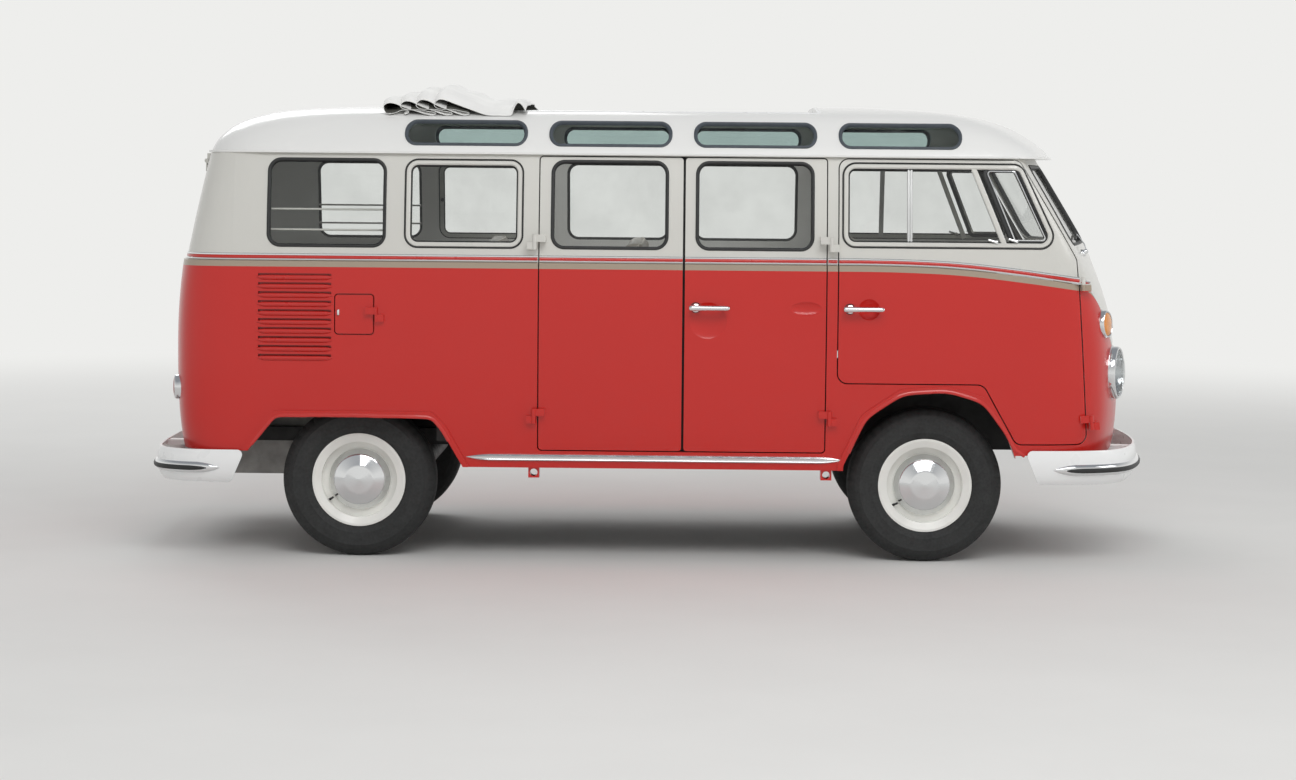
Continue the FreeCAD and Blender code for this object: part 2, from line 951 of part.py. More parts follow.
lamps = []
tail_lamps = []
forward = Vector(1, 0, 0)
for side_name, side in (("left", 1), ("right", -1)):
    lamps.append(lamp_on_skin("headlamp", side_name, side, v.headlamp_spacing, v.headlamp_height, forward))
    lamps.append(lamp_on_skin("signal", side_name, side, v.signal_spacing, v.signal_height, forward))
    tail_lamps.append(
        lamp_on_skin("tail_lamp", side_name, side, v.tail_lamp_spacing, v.tail_lamp_height, forward * -1)
    )
doc.recompute()

front_openings = [outward(windscreen_wire(side), lengthways) for side in (1, -1)]
front_openings += [outward(front_door_wire, side) for side in (left, right)]
nose_shape = shell.common(nose_region).cut(front_openings + [lamp.Shape for lamp in lamps])

keep(group("front_lamps_set", *lamps), "front_lamps")
screen = Part.Compound(
    [glass_layer.common(outward(windscreen_wire(side), lengthways)) for side in (1, -1)]
)
keep(feature("windscreen_shape", screen), "windscreen")

# Hinges and handles. Each hinge has a barrel on its axis that the door carries on
# a leaf, and a shorter one below it on a leaf of the body. The leaves lie on the
# skin, so what is cut away of them is the whole outside.
def hinge_pair(point, axis, toward, out, length, radius):
    # point is the middle of the hinge on its axis; the door's leaf steps over the gap
    axis = Vector(axis).normalize()
    span = length / 2
    door_barrel = Part.makeCylinder(radius, span, point + axis * v.bearing_clearance, axis)
    body_barrel = Part.makeCylinder(radius, span, point - axis * span, axis)
    leaves = []
    for heading, start, step, leaf in (
        (1, v.bearing_clearance, v.hinge_step, v.hinge_leaf),
        (-1, -span, 0, v.hinge_body_leaf),
    ):
        near = point + axis * start
        foot = near + toward * heading * step
        reach = near + toward * heading * leaf
        lift = out * (v.hinge_sheet / 2)
        sink = out * -(v.hinge_bed + v.hinge_standoff)
        corners = [near + lift, near - lift, foot - lift, foot + sink]
        corners += [reach + sink, reach + lift, near + lift]
        if not step:
            corners = [near + lift, near + sink, reach + sink, reach + lift, near + lift]
        leaves.append(Part.Face(Part.makePolygon(corners)).extrude(axis * span))
    door_part = door_barrel.fuse(leaves[0]).cut(outside)
    body_part = body_barrel.fuse(leaves[1]).cut(outside)
    return door_part, body_part


# A recess is part of an egg-shaped form twice as deep, so that its rim is crisp.
recess_rim_share = 0.75 ** 0.5


def recess(station, height, side, half_length, half_height):
    middle = skin_out(Vector(station, 0, height), Vector(0, side, 0))
    scale = FreeCAD.Matrix()
    scale.scale(half_length / recess_rim_share, 2 * v.recess_depth, half_height / recess_rim_share)
    scale.move(middle + Vector(0, side * v.recess_depth, 0))
    return Part.makeSphere(1).transformGeometry(scale)


recesses = {}
for side_name, side in (("left", 1), ("right", -1)):
    radius = v.front_recess_radius
    hollow = recess(v.front_recess_station, v.handle_height, side, radius, radius)
    recesses["front_door_" + side_name] = [hollow]
boss = Part.makeCylinder(
    v.cargo_boss_radius, half + v.cut_overrun,
    Vector(v.cargo_boss_station, 0, v.handle_height), Vector(0, -1, 0),
)
scoop = recess(
    v.cargo_recess_station, v.cargo_recess_height, -1, v.cargo_recess_radius, v.cargo_recess_radius
)
dimple = recess(v.dimple_station, v.handle_height, -1, v.dimple_length / 2, v.dimple_height / 2)
recesses["cargo_door_front"] = [scoop.cut(boss), dimple]


def pull_handle(station, height, side, dishes):
    # a grip along the door on two posts that reach into its recesses
    middle = skin_out(Vector(station, 0, height), Vector(0, side, 0))
    grip_y = middle.y + side * v.handle_standoff
    grip = Part.makeCylinder(
        v.handle_radius, v.handle_length,
        Vector(station - v.handle_length / 2, grip_y, height), Vector(1, 0, 0),
    )
    parts = [grip]
    for end in (-1, 1):
        post_x = station + end * (v.handle_length / 2 - v.handle_post)
        start = Vector(post_x, middle.y - side * v.handle_standoff, height)
        post = Part.makeCylinder(v.handle_post / 2, 2 * v.handle_standoff, start, Vector(0, side, 0))
        parts.append(post)
    return parts[0].fuse(parts[1:]).cut(outside.cut(dishes))


def side_hinge(station, height, side, toward, low=None, high=None, radius=None, length=None):
    # a hinge on a side panel, its axis upright or through two given points
    radius = radius or v.hinge_radius
    length = length or v.hinge_length
    if low is None:
        axis = Vector(0, 0, 1)
        point = Vector(station, side * (half + v.hinge_standoff), height)
    else:
        axis = (high - low).normalize()
        point = low + axis * ((height - low.z) / axis.z)
    out = Vector(0, side, 0)
    out = (out - axis * out.dot(axis)).normalize()
    along = Vector(toward, 0, 0)
    along = (along - axis * along.dot(axis)).normalize()
    return hinge_pair(point, axis, along, out, length, radius)


def front_hinge_line(side):
    # the axis leans back with the edge of the door, and keeps to one distance out,
    # beyond the fullest part of the side between the two hinges
    low = skin_out(Vector(v.front_hinge_foot, 0, v.front_hinge_low), Vector(0, side, 0))
    low.y += side * v.front_hinge_standoff
    return low, Vector(v.front_hinge_head, low.y, v.front_hinge_high)


body_hinges = {"left": [], "right": [], "front_left": [], "front_right": [], "rear": []}
door_parts = {}
for side_name, side in (("left", 1), ("right", -1)):
    low, high = front_hinge_line(side)
    dishes = recesses["front_door_" + side_name]
    parts = [pull_handle(v.front_handle_station, v.handle_height, side, dishes)]
    for height in (v.front_hinge_low, v.front_hinge_high):
        door_part, body_part = side_hinge(0, height, side, -1, low, high)
        parts.append(door_part)
        body_hinges["front_" + side_name].append(body_part)
    door_parts["front_door_" + side_name] = parts
for name, station, toward in (
    ("cargo_door_rear", -v.cargo_rear - v.cargo_hinge_offset, 1),
    ("cargo_door_front", v.cargo_front + v.cargo_hinge_offset, -1),
):
    parts = []
    for height in (v.cargo_hinge_low, v.cargo_hinge_high):
        door_part, body_part = side_hinge(station, height, -1, toward)
        parts.append(door_part)
        body_hinges["right"].append(body_part)
    door_parts[name] = parts
door_parts["cargo_door_front"].append(
    pull_handle(v.cargo_handle_station, v.handle_height, -1, recesses["cargo_door_front"])
)
flap_hinge_height = (v.flap_bottom + v.flap_top) / 2
door_part, body_part = side_hinge(
    -v.flap_front + v.flap_hinge_offset, flap_hinge_height, -1, -1,
    radius=v.flap_hinge_radius, length=v.flap_hinge_length,
)
door_parts["fuel_flap"] = [door_part]
body_hinges["right"].append(body_part)
for name, height, spacing in (
    ("tailgate", v.tailgate_top + v.lid_hinge_offset, v.tailgate_hinge_spacing),
    ("engine_lid", v.lid_top + v.lid_hinge_offset, v.lid_hinge_spacing),
):
    back = skin_out(Vector(0, 0, height), Vector(-1, 0, 0))
    parts = []
    for side in (-1, 1):
        point = Vector(back.x - v.hinge_standoff, side * spacing / 2, height)
        door_part, body_part = hinge_pair(
            point, Vector(0, side, 0), Vector(0, 0, -1), Vector(-1, 0, 0), v.hinge_length, v.hinge_radius
        )
        parts.append(door_part)
        body_hinges["rear"].append(body_part)
    door_parts[name] = parts


def with_parts(shape, parts):
    # the shape with its hinges and handles
    return shape.fuse(parts) if parts else shape


# Side panels. The right one has the opening of the cargo doors and the fuel flap.
def half_space(low):
    long = 2 * (v.tail_reach + v.cut_overrun)
    corner = Vector(-v.tail_reach - v.cut_overrun, low, 0)
    return Part.makeBox(long, half + v.cut_overrun, v.roof_height, corner)


# Jack brackets under the sills, with a bore along the body's width.
jacks = {-1: [], 1: []}
for side in (-1, 1):
    for station in (-v.jack_rear, v.jack_front):
        outer = side * (half - v.jack_set)
        inner = side * (half - v.jack_set - v.jack_depth)
        low, high = sorted((outer, inner))
        jack = Part.makeBox(
            v.jack_width, v.jack_depth, v.jack_height,
            Vector(station - v.jack_width / 2, low, v.sill_height - v.jack_height),
        )
        bore = Part.makeCylinder(
            v.jack_bore, v.jack_depth, Vector(station, low, v.sill_height - v.jack_height / 2),
            Vector(0, 1, 0),
        )
        jacks[side].append(jack.cut(bore))
left_shape = middle_shell.common(half_space(0))
left_openings = [outward(wire, left) for wire in (window_one, window_two, window_three, window_four)]
left_openings.append(outward(front_door_wire, left))
left_shape = left_shape.cut(left_openings + louvre_slots())
left_shape = left_shape.fuse(jacks[1])
front_shape = with_parts(nose_shape, body_hinges["front_left"] + body_hinges["front_right"])
keep(feature("front_panel_shape", front_shape), "front_panel")
right_shape = middle_shell.common(half_space(-half - v.cut_overrun))
cargo_wire = rounded(
    panel_points(-v.cargo_rear, v.cargo_front, v.cargo_bottom, v.door_top), v.flap_corner
)
right_openings = [outward(wire, right) for wire in (window_one, window_two, cargo_wire, front_door_wire)]
pocket = outside.common(outward(flap_wire, right)).cut(hull(v.flap_pocket))
right_shape = right_shape.cut(right_openings + louvre_slots() + [pocket])
filler_foot = (v.flap_pocket + v.wall_thickness) / 2
filler = Part.makeCylinder(
    v.filler_radius, v.filler_length + filler_foot - v.flap_pocket,
    Vector(-(v.flap_rear + v.flap_front) / 2, -half + filler_foot, flap_hinge_height),
    Vector(0, -1, 0),
)
right_shape = right_shape.fuse([filler] + jacks[-1] + body_hinges["right"])
keep(feature("side_panel_left_shape", left_shape), "side_panel_left")
keep(feature("side_panel_right_shape", right_shape), "side_panel_right")
left_panes = panes(left, window_one, window_two, window_three, window_four)
keep(feature("side_glass_left_shape", left_panes), "side_glass_left")
keep(feature("side_glass_right_shape", panes(right, window_one, window_two)), "side_glass_right")

# Rear panel, tailgate and engine lid.
rear_shape = shell.common(tail_region)
rear_shape = rear_shape.cut([outward(tailgate_wire, rearward), outward(lid_wire, rearward)])
rear_shape = with_parts(rear_shape.cut([lamp.Shape for lamp in tail_lamps]), body_hinges["rear"])
keep(feature("rear_panel_shape", rear_shape), "rear_panel")
keep(group("tail_lamps_set", *tail_lamps), "tail_lamps")
tailgate_shape = with_parts(door_shape(tailgate_wire, rearward, [tailgate_window]), door_parts["tailgate"])
keep(feature("tailgate_shape", tailgate_shape), "tailgate")
keep(feature("tailgate_glass_shape", panes(rearward, tailgate_window)), "tailgate_glass")
lid_shape = with_parts(door_shape(lid_wire, rearward), door_parts["engine_lid"])
keep(feature("engine_lid_shape", lid_shape), "engine_lid")

# Doors of the cab and of the passenger space, and the fuel flap.
for side_name, direction in (("left", left), ("right", right)):
    name = "front_door_" + side_name
    leaf = door_shape(front_door_wire, direction, [door_window]).cut(recesses[name])
    leaf = with_parts(leaf, door_parts[name])
    keep(feature(name + "_shape", leaf), name)
    keep(feature(name + "_glass_shape", panes(direction, door_window)), name + "_glass")
for name, wire, window in (
    ("cargo_door_rear", cargo_rear_wire, window_three),
    ("cargo_door_front", cargo_front_wire, window_four),
):
    leaf = door_shape(wire, right, [window])
    if name in recesses:
        leaf = leaf.cut(recesses[name])
    leaf = with_parts(leaf, door_parts[name])
    keep(feature(name + "_shape", leaf), name)
    keep(feature(name + "_glass_shape", panes(right, window)), name + "_glass")
flap_leaf = outside.common(outward(flap_wire, right, -v.flap_gap)).cut(hull(v.flap_thickness))
flap_shape = with_parts(flap_leaf, door_parts["fuel_flap"])
keep(feature("fuel_flap_shape", flap_shape), "fuel_flap")


# Roof shell, from plan sections above the gutter.
# Each row has height, width, front curve start, front, drop, slope, middle
# slope, rear curve start and rear.
roof_section_shares = [
    (0.000, 1.000, 0.808, 1.000, 1.24, 0.25, 0.10, 0.817, 1.000),
    (0.105, 0.987, 0.797, 0.995, 1.24, 0.25, 0.08, 0.810, 0.996),
    (0.376, 0.935, 0.734, 0.952, 1.29, 0.25, 0.05, 0.770, 0.978),
    (0.629, 0.859, 0.643, 0.898, 1.35, 0.25, 0.03, 0.700, 0.933),
    (0.781, 0.790, 0.530, 0.840, 1.35, 0.25, 0.00, 0.610, 0.872),
    (0.871, 0.709, 0.444, 0.785, 1.24, 0.25, 0.00, 0.520, 0.811),
    (0.948, 0.505, 0.340, 0.695, 1.00, 0.25, 0.00, 0.380, 0.650),
    (1.000, 0.240, 0.285, 0.550, 0.60, 0.25, 0.00, 0.250, 0.400),
]
roof_rise = v.roof_height - v.gutter_height
roof_tail_drop_share = 2.2


def roof_runs(shares, inset, lower):
    up, width, start, front, drop, slope, middle, rear_start, rear = shares
    front_run = (
        start * v.roof_front_reach,
        front * v.roof_front_reach - inset,
        drop * v.nose_round_drop,
        slope,
        middle,
    )
    rear_run = (
        rear_start * v.roof_rear_reach,
        rear * v.roof_rear_reach - inset,
        roof_tail_drop_share * v.tail_round_drop * width,
        rear_slope_share,
        0,
    )
    height = v.gutter_height + up * roof_rise - lower
    return plan_runs(height, width * v.roof_width / 2 - inset, front_run, rear_run)


def roof_dome(inset):
    # the roof's form, drawn in by the inset all over
    levels = [roof_runs(roof_section_shares[0], inset, 0)]
    levels += [roof_runs(shares, inset, inset) for shares in roof_section_shares[1:]]
    return smooth_stack(levels)


def roof_hollow():
    # the head room under the roof, which starts inside the body's walls
    levels = [body_runs(body_section_shares[-1], v.wall_thickness)]
    levels += [roof_runs(shares, v.roof_thickness, v.roof_thickness) for shares in roof_section_shares[2:]]
    return smooth_stack(levels)


skylights = []
for index in range(4):
    front = v.skylight_front - index * v.skylight_pitch
    points = panel_points(front - v.skylight_length, front, v.skylight_bottom, v.skylight_top)
    skylights.append(prism(rounded(points, v.skylight_corner), across))
opening_half = v.roof_opening_width / 2
opening_wire = rounded(
    [
        Vector(-v.roof_opening_rear, -opening_half, v.gutter_height),
        Vector(v.roof_opening_front, -opening_half, v.gutter_height),
        Vector(v.roof_opening_front, opening_half, v.gutter_height),
        Vector(-v.roof_opening_rear, opening_half, v.gutter_height),
    ],
    v.roof_opening_corner,
)
roof_opening = Part.Face(opening_wire).extrude(Vector(0, 0, v.roof_height))
gutter = Part.Face(run_wire(roof_runs(roof_section_shares[0], -v.gutter_width, v.gutter_depth)))
gutter = gutter.extrude(Vector(0, 0, v.gutter_depth)).cut(lean)
dome = roof_dome(0)
roof_shape = dome.cut(roof_hollow()).fuse(gutter).cut(skylights + [roof_opening])
keep(feature("roof_panel_shape", roof_shape), "roof_panel")
roof_layer = roof_dome(v.skin_thickness).cut(roof_dome(v.skin_thickness + v.glass_thickness))
roof_panes = Part.Compound([roof_layer.common(light) for light in skylights])
keep(feature("roof_glass_shape", roof_panes), "roof_glass")

# Canvas, folded back in pleats behind the opening.
canvas_shares = [
    (0.000, 0.000),
    (0.000, 0.520),
    (0.070, 0.800),
    (0.180, 0.740),
    (0.270, 0.900),
    (0.370, 0.760),
    (0.480, 0.960),
    (0.590, 0.800),
    (0.700, 1.000),
    (0.800, 0.880),
    (0.900, 1.000),
    (1.000, 0.700),
    (1.000, 0.000),
]
canvas_length = v.canvas_rear - v.canvas_front
canvas_rise = v.canvas_top - v.canvas_seat
canvas_points = upright(
    [
        (-v.canvas_rear + along * canvas_length, v.canvas_seat + up * canvas_rise)
        for along, up in canvas_shares
    ]
)
canvas_face = Part.Face(Part.makePolygon(canvas_points + canvas_points[:1]))
canvas_face.translate(Vector(0, -v.canvas_width / 2, 0))
canvas_shape = canvas_face.extrude(Vector(0, v.canvas_width, 0)).cut(dome)
keep(feature("roof_canvas_shape", canvas_shape), "roof_canvas")

# Floor with wheel tubs, rear deck, bulkhead and frame rails. Its edges stand
# clear of the walls and doors, and the outriggers meet the sills.
inner_clear = hull(v.wall_thickness + v.door_gap)


def solid_box(rear, front, side, other, bottom, top):
    return Part.makeBox(front - rear, other - side, top - bottom, Vector(rear, side, bottom))


floor_bottom = v.floor_top - v.floor_thickness
wide = half + v.cut_overrun
floor_parts = [
    solid_box(-v.deck_front - v.deck_thickness, v.floor_front, -wide, wide, floor_bottom, v.floor_top),
    solid_box(-v.deck_front - v.deck_thickness, -v.deck_front, -wide, wide, floor_bottom, v.deck_top),
    solid_box(-v.tail_reach, -v.deck_front, -wide, wide, v.deck_top - v.deck_thickness, v.deck_top),
    solid_box(
        v.bulkhead_station, v.bulkhead_station + v.bulkhead_thickness, -wide, wide,
        v.floor_top, v.bulkhead_top,
    ),
]
tub_spaces = []
for side in (-1, 1):
    near, far = sorted((side * v.tub_inner, side * wide))
    floor_parts.append(solid_box(v.tub_rear, v.tub_front, near, far, floor_bottom, v.tub_top))
    near, far = sorted((side * (v.tub_inner + v.tub_wall), side * wide))
    tub_spaces.append(
        solid_box(v.tub_rear + v.tub_wall, v.tub_front - v.tub_wall, near, far, 0, v.tub_top - v.tub_wall)
    )
floor_shape = floor_parts[0].fuse(floor_parts[1:]).common(inner_clear).cut(tub_spaces)
frame_parts = []
for side in (-1, 1):
    low = side * v.rail_spacing / 2 - v.rail_width / 2
    frame_parts.append(
        solid_box(-v.rail_rear, v.rail_front, low, low + v.rail_width, v.rail_bottom, floor_bottom)
    )
    low = side * v.tail_rail_spacing / 2 - v.rail_width / 2
    frame_parts.append(
        solid_box(
            -v.tail_reach, -v.deck_front, low, low + v.rail_width,
            v.tail_edge_height, v.tail_edge_height + v.rail_width,
        )
    )
    for station in (v.outrigger_rear, v.outrigger_middle, v.outrigger_front, v.outrigger_nose):
        near, far = sorted((side * v.rail_spacing / 2, side * wide))
        frame_parts.append(
            solid_box(
                station, station + v.outrigger_length, near, far, v.rail_bottom, floor_bottom
            )
        )
frame_shape = frame_parts[0].fuse(frame_parts[1:]).common(cabin)
low_doors = solid_box(-v.tail_reach, v.nose_reach, -wide, wide, v.cargo_bottom, v.door_top).cut(inner_clear)
frame_shape = frame_shape.cut(low_doors)
floor_shape = floor_shape.fuse(frame_shape)
keep(feature("floor_pan_shape", floor_shape), "floor_pan")

# Wheels and tyres, turned about Z and laid with Z pointing outwards.
half_rim = "rim_width / 2"
well_half = "rim_width / 2 - rim_lip - rim_sheet"
wheel_outline = [
    ("0", "spindle_end"),
    ("wheel_bore", "spindle_end"),
    ("wheel_bore", "disc_set - drum_depth"),
    ("drum_radius", "disc_set - drum_depth"),
    ("drum_radius", "disc_set - rim_sheet"),
    ("rim_well - rim_sheet", "disc_set - rim_sheet"),
    ("rim_well - rim_sheet", "-(rim_width / 2 - rim_lip)"),
    ("rim_radius - rim_sheet", "-rim_width / 2"),
    ("rim_radius", "-rim_width / 2"),
    ("rim_radius", "-(rim_width / 2 - rim_sheet)"),
    ("rim_well", "-(rim_width / 2 - rim_lip - rim_sheet)"),
    ("rim_well", "rim_width / 2 - rim_lip - rim_sheet"),
    ("rim_radius", "rim_width / 2 - rim_sheet"),
    ("rim_radius", "rim_width / 2"),
    ("rim_radius - rim_sheet", "rim_width / 2"),
    ("rim_well - rim_sheet", "rim_width / 2 - rim_lip"),
    ("rim_well - rim_sheet", "disc_set"),
    ("hubcap_radius", "disc_set"),
    ("hubcap_radius", "disc_set + hubcap_lip"),
    ("hubcap_radius * hub_outer_share", "disc_set + hubcap_dome * hub_low_share"),
    ("hubcap_radius * hub_inner_share", "disc_set + hubcap_dome * hub_high_share"),
    ("0", "disc_set + hubcap_dome"),
]
tyre_outline = [
    ("rim_well", "-(rim_width / 2 - rim_lip - rim_sheet)"),
    ("rim_radius", "-(rim_width / 2 - rim_sheet)"),
    ("tyre_belly_radius", "-tyre_width / 2"),
    ("tyre_shoulder_radius", "-tyre_width / 2 + tyre_round"),
    ("tyre_radius", "-tyre_tread / 2"),
    ("tyre_radius", "tyre_tread / 2"),
    ("tyre_shoulder_radius", "tyre_width / 2 - tyre_round"),
    ("tyre_belly_radius", "tyre_width / 2"),
    ("rim_radius", "rim_width / 2 - rim_sheet"),
    ("rim_well", "rim_width / 2 - rim_lip - rim_sheet"),
]
outward_left = Rotation(Vector(1, 0, 0), -90)
outward_right = Rotation(Vector(1, 0, 0), 90)
for end_name, station, track in (
    ("front", "front_axle_station", "front_track"),
    ("rear", "front_axle_station - wheelbase", "rear_track"),
):
    for side_name, sign, turn in (("left", "", outward_left), ("right", "-", outward_right)):
        name = "%s_%s" % (end_name, side_name)
        wheel = turned("wheel_%s_body" % name, wheel_outline)
        tyre = turned("tyre_%s_body" % name, tyre_outline)
        for item, label in ((wheel, "wheel_" + name), (tyre, "tyre_" + name)):
            place(item, (station, "%s%s / 2" % (sign, track), "tyre_radius"), turn)
            keep(item, label)

# Front axle: two tubes with trailing arms, and a knuckle with its spindle at
# each end. The knuckle turns between the ears of the arms.
axle_items = []
for height in ("axle_tube_low", "axle_tube_high"):
    axle_items.append(
        rod(
            "front_tube_" + height[-4:].strip("_"), "axle_tube_radius", "axle_tube_length",
            ("front_axle_station + axle_tube_lead", "-axle_tube_length / 2", height), along_y,
        )
    )
for side_name, sign in (("left", 1), ("right", -1)):
    near = "axle_tube_length / 2 - arm_width" if sign > 0 else "-axle_tube_length / 2"
    ear_near = "axle_tube_length / 2 - arm_width" if sign > 0 else "-kingpin_spacing / 2 - knuckle_radius"
    rail_near = "rail_spacing / 2 - axle_head_width / 2"
    if sign < 0:
        rail_near = "-rail_spacing / 2 - axle_head_width / 2"
    for level, height, ear in (
        ("low", "axle_tube_low", "tyre_radius - kingpin_height / 2 - bearing_clearance - arm_height"),
        ("high", "axle_tube_high", "tyre_radius + kingpin_height / 2 + bearing_clearance"),
    ):
        axle_items.append(
            block(
                "arm_%s_%s" % (level, side_name), "axle_tube_lead + knuckle_radius", "arm_width",
                "arm_height", ("front_axle_station - knuckle_radius", near, ear),
            )
        )
        axle_items.append(
            block(
                "ear_%s_%s" % (level, side_name), "2 * knuckle_radius",
                "kingpin_spacing / 2 + knuckle_radius - axle_tube_length / 2 + arm_width",
                "arm_height", ("front_axle_station - knuckle_radius", ear_near, ear),
            )
        )
    axle_items.append(
        block(
            "axle_head_" + side_name, "axle_head_width", "axle_head_width",
            "rail_bottom - axle_tube_low",
            ("front_axle_station + axle_tube_lead - axle_head_width / 2", rail_near, "axle_tube_low"),
        )
    )
keep(fuse("front_axle_fuse", *axle_items), "front_axle")

for side_name, sign, turn in (("left", "", outward_left), ("right", "-", outward_right)):
    kingpin_place = ("front_axle_station", sign + "kingpin_spacing / 2", "tyre_radius - kingpin_height / 2")
    boss = rod("kingpin_boss_" + side_name, "knuckle_radius", "kingpin_height", kingpin_place)
    middle_place = ("front_axle_station", sign + "kingpin_spacing / 2", "tyre_radius")
    spindle = rod(
        "spindle_" + side_name, "spindle_radius",
        "front_track / 2 - kingpin_spacing / 2 + spindle_end - end_float", middle_place, turn,
    )
    plate_side = "front_track / 2 + disc_set - drum_depth - drum_clearance - backplate_thickness"
    plate_place = ("front_axle_station", "%s(%s)" % (sign, plate_side), "tyre_radius")
    plate = rod("backplate_" + side_name, "backplate_radius", "backplate_thickness", plate_place, turn)
    keep(fuse("knuckle_%s_fuse" % side_name, boss, spindle, plate), "knuckle_" + side_name)

# Rear axle: swing tubes from the gearbox, and the torsion tube that holds it.
rear_station = "front_axle_station - wheelbase"
rear_items = [
    block(
        "gearbox", "gearbox_length", "gearbox_width", "gearbox_height",
        (rear_station + " - gearbox_length / 2", "-gearbox_width / 2", "tyre_radius - gearbox_height / 2"),
    ),
    rod(
        "torsion_tube", "torsion_tube_radius", "torsion_tube_length",
        ("-torsion_tube_station", "-torsion_tube_length / 2", "rail_bottom - torsion_tube_radius"), along_y,
    ),
]
for side_name, sign, turn in (("left", "", outward_left), ("right", "-", outward_right)):
    plate_side = "rear_track / 2 + disc_set - drum_depth - drum_clearance - backplate_thickness"
    middle = (rear_station, "0", "tyre_radius")
    rear_items.append(rod("swing_tube_" + side_name, "rear_tube_radius", plate_side, middle, turn))
    rear_items.append(
        rod(
            "rear_spindle_" + side_name, "spindle_radius", "rear_track / 2 + spindle_end - end_float",
            middle, turn,
        )
    )
    plate_place = (rear_station, "%s(%s)" % (sign, plate_side), "tyre_radius")
    rear_items.append(
        rod("rear_backplate_" + side_name, "backplate_radius", "backplate_thickness", plate_place, turn)
    )
    near = "torsion_tube_length / 2 - arm_width" if sign == "" else "-torsion_tube_length / 2"
    rear_items.append(
        block(
            "spring_plate_" + side_name, "-torsion_tube_station - (front_axle_station - wheelbase)",
            "arm_width", "arm_height", (rear_station, near, "tyre_radius"),
        )
    )
keep(fuse("rear_axle_fuse", *rear_items), "rear_axle")
engine = block(
    "engine_block", "engine_rear - engine_front", "engine_width", "engine_top - engine_bottom",
    ("-engine_rear", "-engine_width / 2", "engine_bottom"),
)
keep(engine, "engine")
muffler = rod(
    "muffler_drum", "muffler_radius", "muffler_length",
    ("-engine_rear - muffler_radius", "-muffler_length / 2", "muffler_height"), along_y,
)
keep(muffler, "muffler")

# Bumpers: blades that wrap round the corners, domed from top to bottom.
bumper_section_shares = [(0.0, 1.0), (0.12, 0.4), (0.45, 0.0), (0.80, 0.1), (1.0, 0.45)]
bumper_slope_share = 0.36


def bumper_ring(bottom, height, inset):
    # a ring round the whole body, of which each bumper takes one end
    levels = []
    for up, dome_share in bumper_section_shares:
        drawn = inset + dome_share * v.bumper_dome
        front_tip = v.bumper_front_reach - drawn
        front_run = (v.front_curve_start, front_tip, v.nose_round_drop, bumper_slope_share, 0)
        rear_tip = v.bumper_rear_reach - drawn
        rear_run = (rear_curve_start, rear_tip, v.tail_round_drop, rear_slope_share, 0)
        levels.append(plan_runs(bottom + up * height, v.bumper_width / 2 - drawn, front_run, rear_run))
    return smooth_stack(levels)


def blade_outline(sign, end, bottom, height, tip):
    # the blade in side view, its end slanted back towards the foot
    points = [
        (sign * end, bottom + height),
        (sign * (tip + v.cut_overrun), bottom + height),
        (sign * (tip + v.cut_overrun), bottom),
        (sign * (end + v.bumper_end_slant), bottom),
    ]
    return prism(rounded(upright(points), v.bumper_end_corner), across)


for end_name, sign, end, bottom, height in (
    ("front", 1, v.bumper_front_end, v.bumper_front_bottom, v.bumper_front_height),
    ("rear", -1, v.bumper_rear_end, v.bumper_rear_bottom, v.bumper_rear_height),
):
    outer = bumper_ring(bottom, height, 0)
    inner = bumper_ring(bottom, height, v.bumper_sheet)
    if sign > 0:
        tip = v.bumper_front_reach
        spacing = v.rail_spacing
        rail_end = v.rail_front
        top = v.nose_edge_height - v.bumper_bracket_drop
    else:
        tip = v.bumper_rear_reach
        spacing = v.tail_rail_spacing
        rail_end = v.tail_reach - v.bumper_bracket_lap
        top = v.tail_edge_height
    blade = outer.cut(inner).common(blade_outline(sign, end, bottom, height, tip))
    parts = [blade]
    for side in (-1, 1):
        low = side * spacing / 2 - v.bumper_bracket_width / 2
        start, stop = sorted((sign * rail_end, sign * tip))
        bar = solid_box(start, stop, low, low + v.bumper_bracket_width, top - v.bumper_bracket_height, top)
        parts.append(bar.common(outer))
    bumper = parts[0].fuse(parts[1:])
    keep(feature("bumper_%s_shape" % end_name, bumper), "bumper_" + end_name)

# Seats: a bench and a single seat in the cab, and two benches behind.
soft = v.seat_edge
front_seat_items = []
for name, side in (
    ("driver", "passenger_seat_width / 2 - driver_seat_width / 2 + seat_side_gap"),
    ("passenger", "-passenger_seat_width / 2 - driver_seat_width / 2"),
):
    width = name + "_seat_width"
    front_seat_items.append(
        padded_block(
            name + "_cushion", "front_seat_front - front_seat_rear", width, "cushion_height",
            ("front_seat_rear", side, "plinth_top + seat_settle"), soft,
        )
    )
    front_seat_items.append(
        padded_block(
            name + "_back", "back_thickness", width,
            "front_back_top - plinth_top - cushion_height - 2 * seat_settle",
            ("front_seat_rear - seat_back_lap", side, "plinth_top + cushion_height + 2 * seat_settle"),
            soft,
        )
    )
keep(group("front_seats_set", *front_seat_items), "front_seats")
leg_items = [
    block(
        "cab_plinth", "plinth_front - bulkhead_station - bulkhead_thickness", "plinth_width",
        "plinth_top - tub_top",
        ("bulkhead_station + bulkhead_thickness", "-plinth_width / 2", "tub_top"),
    )
]
